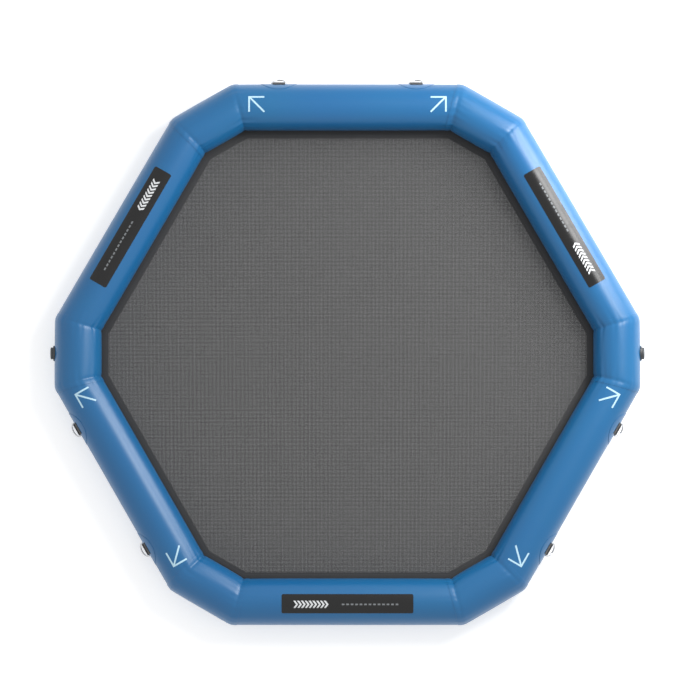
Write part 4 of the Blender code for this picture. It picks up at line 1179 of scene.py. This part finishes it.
def valve_housing(name, matrix, material, valve):
    """Flange, neck and barrel in one moulding, saddled to the tube."""
    seat, groove = 2 * GAP + GASKET_THICKNESS, FLANGE_FACE - GROOVE_DEPTH

    def outline(angle):
        return rounded([
            (BORE_RADIUS, BARREL_END, FINE), (BORE_RADIUS, MOUTH, MOUTH_EDGE),
            (NECK_RADIUS, MOUTH, NECK_EDGE), (NECK_RADIUS, FLANGE_FACE, CRISP),
            (GROOVE_IN, FLANGE_FACE, CRISP), (GROOVE_IN, groove, SHARP),
            (GROOVE_OUT, groove, SHARP), (GROOVE_OUT, FLANGE_FACE, CRISP),
            (FLANGE_RADIUS, FLANGE_FACE, RIM_EDGE),
            (FLANGE_RADIUS, wall_height(FLANGE_RADIUS, angle, seat), CRISP),
            (BARREL_RADIUS, wall_height(BARREL_RADIUS, angle, seat), CRISP),
            (BARREL_RADIUS, BARREL_END, SOFT),
        ])

    mesh = turned(name, outline, matrix, FINE_ROUND_STEPS)
    return piece(name, mesh, material, nodes=[f"{valve}_body"])


def valve_insert(name, matrix, material, valve):
    """The insert in the bore: rim, three arms and the hub that guides the stem."""
    rim, hole = BORE_RADIUS - GAP, STEM_RADIUS + GAP
    mesh, hub = [
        turned(name, rounded(rectangle(inner, CORE_UNDER, outer, CORE_FACE), FINE), matrix)
        for inner, outer in ((rim - CORE_RIM_WIDTH, rim), (hole, HUB_RADIUS))
    ]
    mesh = combined(mesh, hub, "UNION")
    half, edge = ARM_WIDTH / 2, FINE / 2
    corners = rectangle((hole + HUB_RADIUS) / 2, -half, rim - CORE_RIM_WIDTH / 2, half)
    for arm in range(ARMS):
        turn = matrix @ Matrix.Rotation(arm * TURN / ARMS, 4, "Z")
        plate = extruded(name, corners, CORE_UNDER + edge, CORE_FACE - edge, turn, edge)
        mesh = combined(mesh, plate, "UNION")
    return piece(name, mesh, material, nodes=[f"{valve}_core"])


def valve_gasket(name, matrix, material, valve):
    """The gasket between the flange and the wall."""
    inner = BARREL_RADIUS + GAP
    places = rectangle(inner, GAP, inner + GASKET_WIDTH, GAP + GASKET_THICKNESS)

    def outline(angle):
        return [(radius, wall_height(radius, angle, lift)) for radius, lift in places]

    mesh = turned(name, outline, matrix)
    return piece(name, mesh, material, nodes=[f"{valve}_gasket"])


def valve_nut(name, matrix, material, valve):
    """The nut that clamps the wall from inside."""
    inner, outer = BARREL_RADIUS + GAP, BARREL_RADIUS + GAP + NUT_WIDTH
    low, lift = SLEEVE - TUBE_WALL - NUT_THICKNESS, -TUBE_WALL - GAP

    def outline(angle):
        return rounded([
            (inner, low, SOFT), (outer, low, NUT_EDGE),
            (outer, wall_height(outer, angle, lift), FINE), (inner, wall_height(inner, angle, lift), FINE),
        ])

    mesh = turned(name, outline, matrix)
    return piece(name, mesh, material, nodes=[f"{valve}_backnut"])


def valve_spring(name, matrix, material, valve):
    """The coil spring between the hub and the button."""
    radius, half = (STEM_RADIUS + HUB_RADIUS) / 2, SPRING_WIRE / 2
    low, high = CORE_FACE + GAP, BUTTON_FACE - BUTTON_THICKNESS - GAP
    path = []
    for share in np.linspace(0, 1, SPRING_TURNS * SPRING_STEPS + 1):
        angle = share * SPRING_TURNS * TURN
        height = low + half + (high - low - SPRING_WIRE) * share
        path.append(matrix @ Vector((radius * math.cos(angle), radius * math.sin(angle), height)))
    along = matrix.col[2][:3]
    mesh = swept(name, path, half, along, SPRING_SIDES)
    item = piece(name, mesh, material, nodes=[f"{valve}_spring"])
    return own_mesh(item)


def strap_tab(name, start, low, matrix):
    """A flat tab from near the valve's axis down to the strap's fold."""
    half, end = STRAP_TAB_WIDTH / 2, TUBE_HEIGHT - FOLD_AXIS[2]
    return extruded(name, rectangle(-end, -half, -start, half), low, low + STRAP_THICKNESS, matrix, CRISP)


def valve_strap(name, matrix, material, valve):
    """The soft collar round the neck, with its half of the strap."""
    inner = NECK_RADIUS + GAP
    outer = inner + STRAP_COLLAR_WIDTH
    collar = turned(name, rounded(rectangle(inner, COLLAR_UNDER, outer, COLLAR_FACE), FINE), matrix)
    mesh = combined(collar, strap_tab(name, (inner + outer) / 2, COLLAR_UNDER, matrix), "UNION")
    return piece(name, mesh, material, nodes=[f"{valve}_strap"])


def strap_fold(name, run, material):
    """The bend that joins the strap's two halves."""
    matrix = run_frame(run, 0, 0, FOLD_AXIS[2] - TUBE_HEIGHT)
    lift, half = FOLD_AXIS[0] - APOTHEMS[0], STRAP_TAB_WIDTH / 2 - GAP
    inner, outer = GAP / 2, GAP / 2 + STRAP_THICKNESS
    angles = np.linspace(-TURN / 4, TURN / 4, FOLD_STEPS)
    section = arc_points(-outer, outer, angles, (0, lift))
    section += arc_points(-inner, inner, angles, (0, lift))[::-1]
    places = np.linspace(-half, half, FOLD_ROWS)
    rings = [[matrix @ Vector((x, out, up)) for up, out in section] for x in places]
    item = piece(name, skin(name, rings, ends="across"), material, body=None)
    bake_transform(item)
    return item


def valve_poppet(name, matrix, material, valve):
    """The rubber disc that closes the barrel from inside."""
    hole = STEM_RADIUS + GAP
    corners = [
        (hole, POPPET_FACE), (POPPET_RADIUS, POPPET_FACE, DISC_EDGE),
        (POPPET_RADIUS, POPPET_FACE - DISC_THICKNESS, SOFT),
        (POPPET_RADIUS * DISC_NOSE_SHARE, POPPET_UNDER, NOSE_EDGE), (hole, POPPET_UNDER),
    ]
    mesh = turned(name, rounded(corners), matrix)
    return piece(name, mesh, material, f"{valve}_poppet", [f"{valve}_poppet"])


def valve_stem(name, matrix, material, valve):
    """Push button, stem and foot, with a slot across the button."""
    under, foot = BUTTON_FACE - BUTTON_THICKNESS, STEM_END + STEM_FOOT_THICKNESS
    corners = [
        (0, BUTTON_FACE), (BUTTON_RADIUS, BUTTON_FACE, BUTTON_EDGE),
        (BUTTON_RADIUS, under, FINE), (STEM_RADIUS, under, FINE),
        (STEM_RADIUS, foot), (STEM_FOOT_RADIUS, foot, FINE),
        (STEM_FOOT_RADIUS, STEM_END, FINE), (0, STEM_END),
    ]
    mesh = turned(name, rounded(corners), matrix, BUTTON_STEPS)
    half, length = BUTTON_SLOT_WIDTH / 2, BUTTON_RADIUS * 2
    outline = rectangle(-length, -half, length, half)
    slot = extruded(f"{name}_slot", outline, BUTTON_FACE - BUTTON_SLOT_DEPTH, MOUTH, matrix)
    mesh = combined(mesh, slot, "DIFFERENCE")
    return piece(name, mesh, material, f"{valve}_stem", [f"{valve}_stem"])


def valve_cap(name, matrix, material, valve, tree):
    """The cup-shaped cap with a dished top and its half of the strap, and the ribs round it."""
    inner, under, dish = CAP_RADIUS - CAP_WALL, CAP_FACE - CAP_TOP, CAP_FACE - DISH_DEPTH
    corners = [
        (0, CAP_FACE), (NUB_RADIUS, CAP_FACE, SOFT),
        (NUB_RADIUS + DISH_DEPTH, dish, SOFT), (DISH_RADIUS, dish, DISH_EDGE),
        (DISH_RADIUS + DISH_DEPTH, CAP_FACE, SOFT), (CAP_RADIUS, CAP_FACE, RIM_EDGE),
        (CAP_RADIUS, CAP_RIM, FINE), (inner, CAP_RIM, FINE), (inner, under, SOFT), (0, under),
    ]
    cup = turned(name, rounded(corners), matrix, FINE_ROUND_STEPS)
    mesh = combined(cup, strap_tab(name, (inner + CAP_RADIUS) / 2, CAP_RIM, matrix), "UNION")
    piece(name, mesh, material, f"{valve}_cap", [f"{valve}_cap"])

    title, size = f"{name}_grip", Matrix.Diagonal((RIB_RADIUS, RIB_RADIUS, RIB_HEIGHT, 1))
    rib = turned(title, RIB_OUTLINE + [(out, -up) for out, up in RIB_OUTLINE[::-1]], size, RIB_SIDES)
    grip = baked(title, tree, {"Count": GRIP_RIBS, "Radius": CAP_RADIUS, "Material": material}, rib)
    grip.transform(matrix @ Matrix.Translation((0, 0, (CAP_RIM + CAP_FACE) / 2)))
    piece(title, grip, material, f"{valve}_cap")


def inflation_valve(run, materials, tree):
    """One inflation valve through the outer wall of a corner sleeve."""
    valve, matrix = f"valve_{VALVE_RUNS[run]}", valve_frame(run)
    name, plastic, rubber = f"inflation_{valve}", materials["plastic"], materials["rubber"]
    valve_housing(f"{name}_housing", matrix, plastic, valve)
    valve_insert(f"{name}_insert", matrix, plastic, valve)
    valve_gasket(f"{name}_gasket_ring", matrix, rubber, valve)
    valve_nut(f"{name}_clamp_nut", matrix, plastic, valve)
    valve_spring(f"{name}_coil", matrix, materials["steel"], valve)
    valve_strap(f"{name}_collar", matrix, rubber, valve)
    strap_fold(f"{name}_strap_fold", run, rubber)
    valve_poppet(f"{name}_disc", matrix, rubber, valve)
    valve_stem(f"{name}_button", matrix, materials["button"], valve)
    valve_cap(f"{name}_cover", matrix, materials["cap"], valve, tree)


# Everything together.


def make_materials():
    """Every material, by the part that it finishes."""
    ink = {"grain": 0.002, "depth": 0.00002, "Roughness": 0.42, "IOR": 1.5}
    thread = {"grain": 0.001, "depth": 0.0001, "Roughness": 0.7, "IOR": 1.5}
    return {
        # PVC-coated polyester, calendered: saturated blue with a soft sheen.
        "tube": pvc_coated_fabric("pvc_coated_polyester_blue", TUBE_BLUE, TUBE_BLUE_CLOUD, 0.36, 0.25),
        # The same cloth with a duller charcoal coating.
        "strip": pvc_coated_fabric("pvc_coated_polyester_charcoal", CHARCOAL, CHARCOAL_CLOUD, 0.6, 0.0),
        # PVC-coated polyester yarn: dark grey, dull, each strand slightly uneven.
        "net": grained("pvc_coated_yarn_grey", NET_COLOUR, 0.004, 0.0001, Roughness=0.7, IOR=1.5),
        # Flexible PVC sheet: near black, satin enough to take the lamps' glare, with a faint grain.
        "label": grained("flexible_pvc_sheet_black", LABEL_BLACK, 0.0012, 0.00003, Roughness=0.27, IOR=1.46),
        # Screen printing ink: opaque, duller than the sheet under it.
        "white_ink": grained("screen_ink_white", WHITE_INK, **ink),
        "grey_ink": grained("screen_ink_grey", GREY_INK, **ink),
        "arrow_ink": grained("screen_ink_pale_blue", ARROW_INK, **ink),
        # Woven polyester webbing: black and dull, in fine ribs; the lighter second colour is painted
        # highlight on the rib tops.
        "webbing": woven_webbing("woven_polyester_webbing_black", "#151516", "#2B2B2D"),
        # Bonded polyester thread: matt, lighter than what it holds.
        "thread": grained("bonded_thread_grey", THREAD_COLOUR, **thread),
        "webbing_thread": grained("bonded_thread_dark", "#606164", **thread),
        # Stainless steel wire, polished: bright and slightly soft in its reflections.
        "steel": polished_stainless("stainless_steel_polished", "#C6C7C9"),
        # Moulded ABS: dark grey, satin, finely textured.
        "plastic": grained("abs_moulded_dark_grey", "#3B3D40", 0.0007, 0.00004, Roughness=0.4, IOR=1.54),
        # Moulded polypropylene: mid grey, satin.
        "cap": grained("polypropylene_moulded_grey", "#55585B", 0.0007, 0.00004, Roughness=0.42, IOR=1.49),
        # Moulded silicone rubber: black, dull.
        "rubber": grained("rubber_moulded_black", "#1B1B1C", 0.0008, 0.00004, Roughness=0.6, IOR=1.52),
        # Moulded nylon: light grey, satin.
        "button": grained("nylon_moulded_light_grey", "#B4B7BA", 0.0007, 0.00003, Roughness=0.4, IOR=1.53),
    }


def dress():
    """Makes every piece."""
    materials = make_materials()
    stitches, rows, ribs = stitch_tree(), row_tree(), ring_tree()
    for run in SIDES:
        air_tube(run, materials["tube"])
    for run in CORNERS:
        corner_sleeve(run, materials["tube"])
    for run in BAFFLE_RUNS:
        bulkhead(run, materials["tube"])
    band("skirt_flap", skirt_outline(), materials["strip"], "mesh_skirt")
    upper, lower = height_of("mesh_border_upper")[0], height_of("mesh_border_lower")[0]
    band("edge_strip_upper", strip_outline(upper), materials["strip"], "mesh_border_upper", STRIP_RIPPLE)
    under = [(out, 2 * lower + STRIP_THICKNESS - up) for out, up in strip_outline(lower)]
    band("edge_strip_lower", under, materials["strip"], "mesh_border_lower", STRIP_RIPPLE)
    top = upper + STRIP_THICKNESS
    strip_stitches("strip_stitches_upper", top, (0, 0, 1), materials["thread"], stitches)
    strip_stitches("strip_stitches_lower", lower, (0, 0, -1), materials["thread"], stitches)
    net_panel(materials["net"])
    for run in LABEL_RUNS:
        label(run, materials["label"])
        label_prints(run, materials["white_ink"], materials["grey_ink"], rows)
    for run in ARROW_RUNS:
        arrow_prints(run, materials["arrow_ink"])
    for name, (run, side) in RING_PLACES.items():
        welded_patch(name, run, side * RING_DISTANCE, materials["tube"])
        webbing_keeper(name, run, side * RING_DISTANCE, materials, stitches)
        tether_ring(name, run, side * RING_DISTANCE, materials["steel"])
    for run in VALVE_RUNS:
        inflation_valve(run, materials, ribs)


make_studio()
dress()
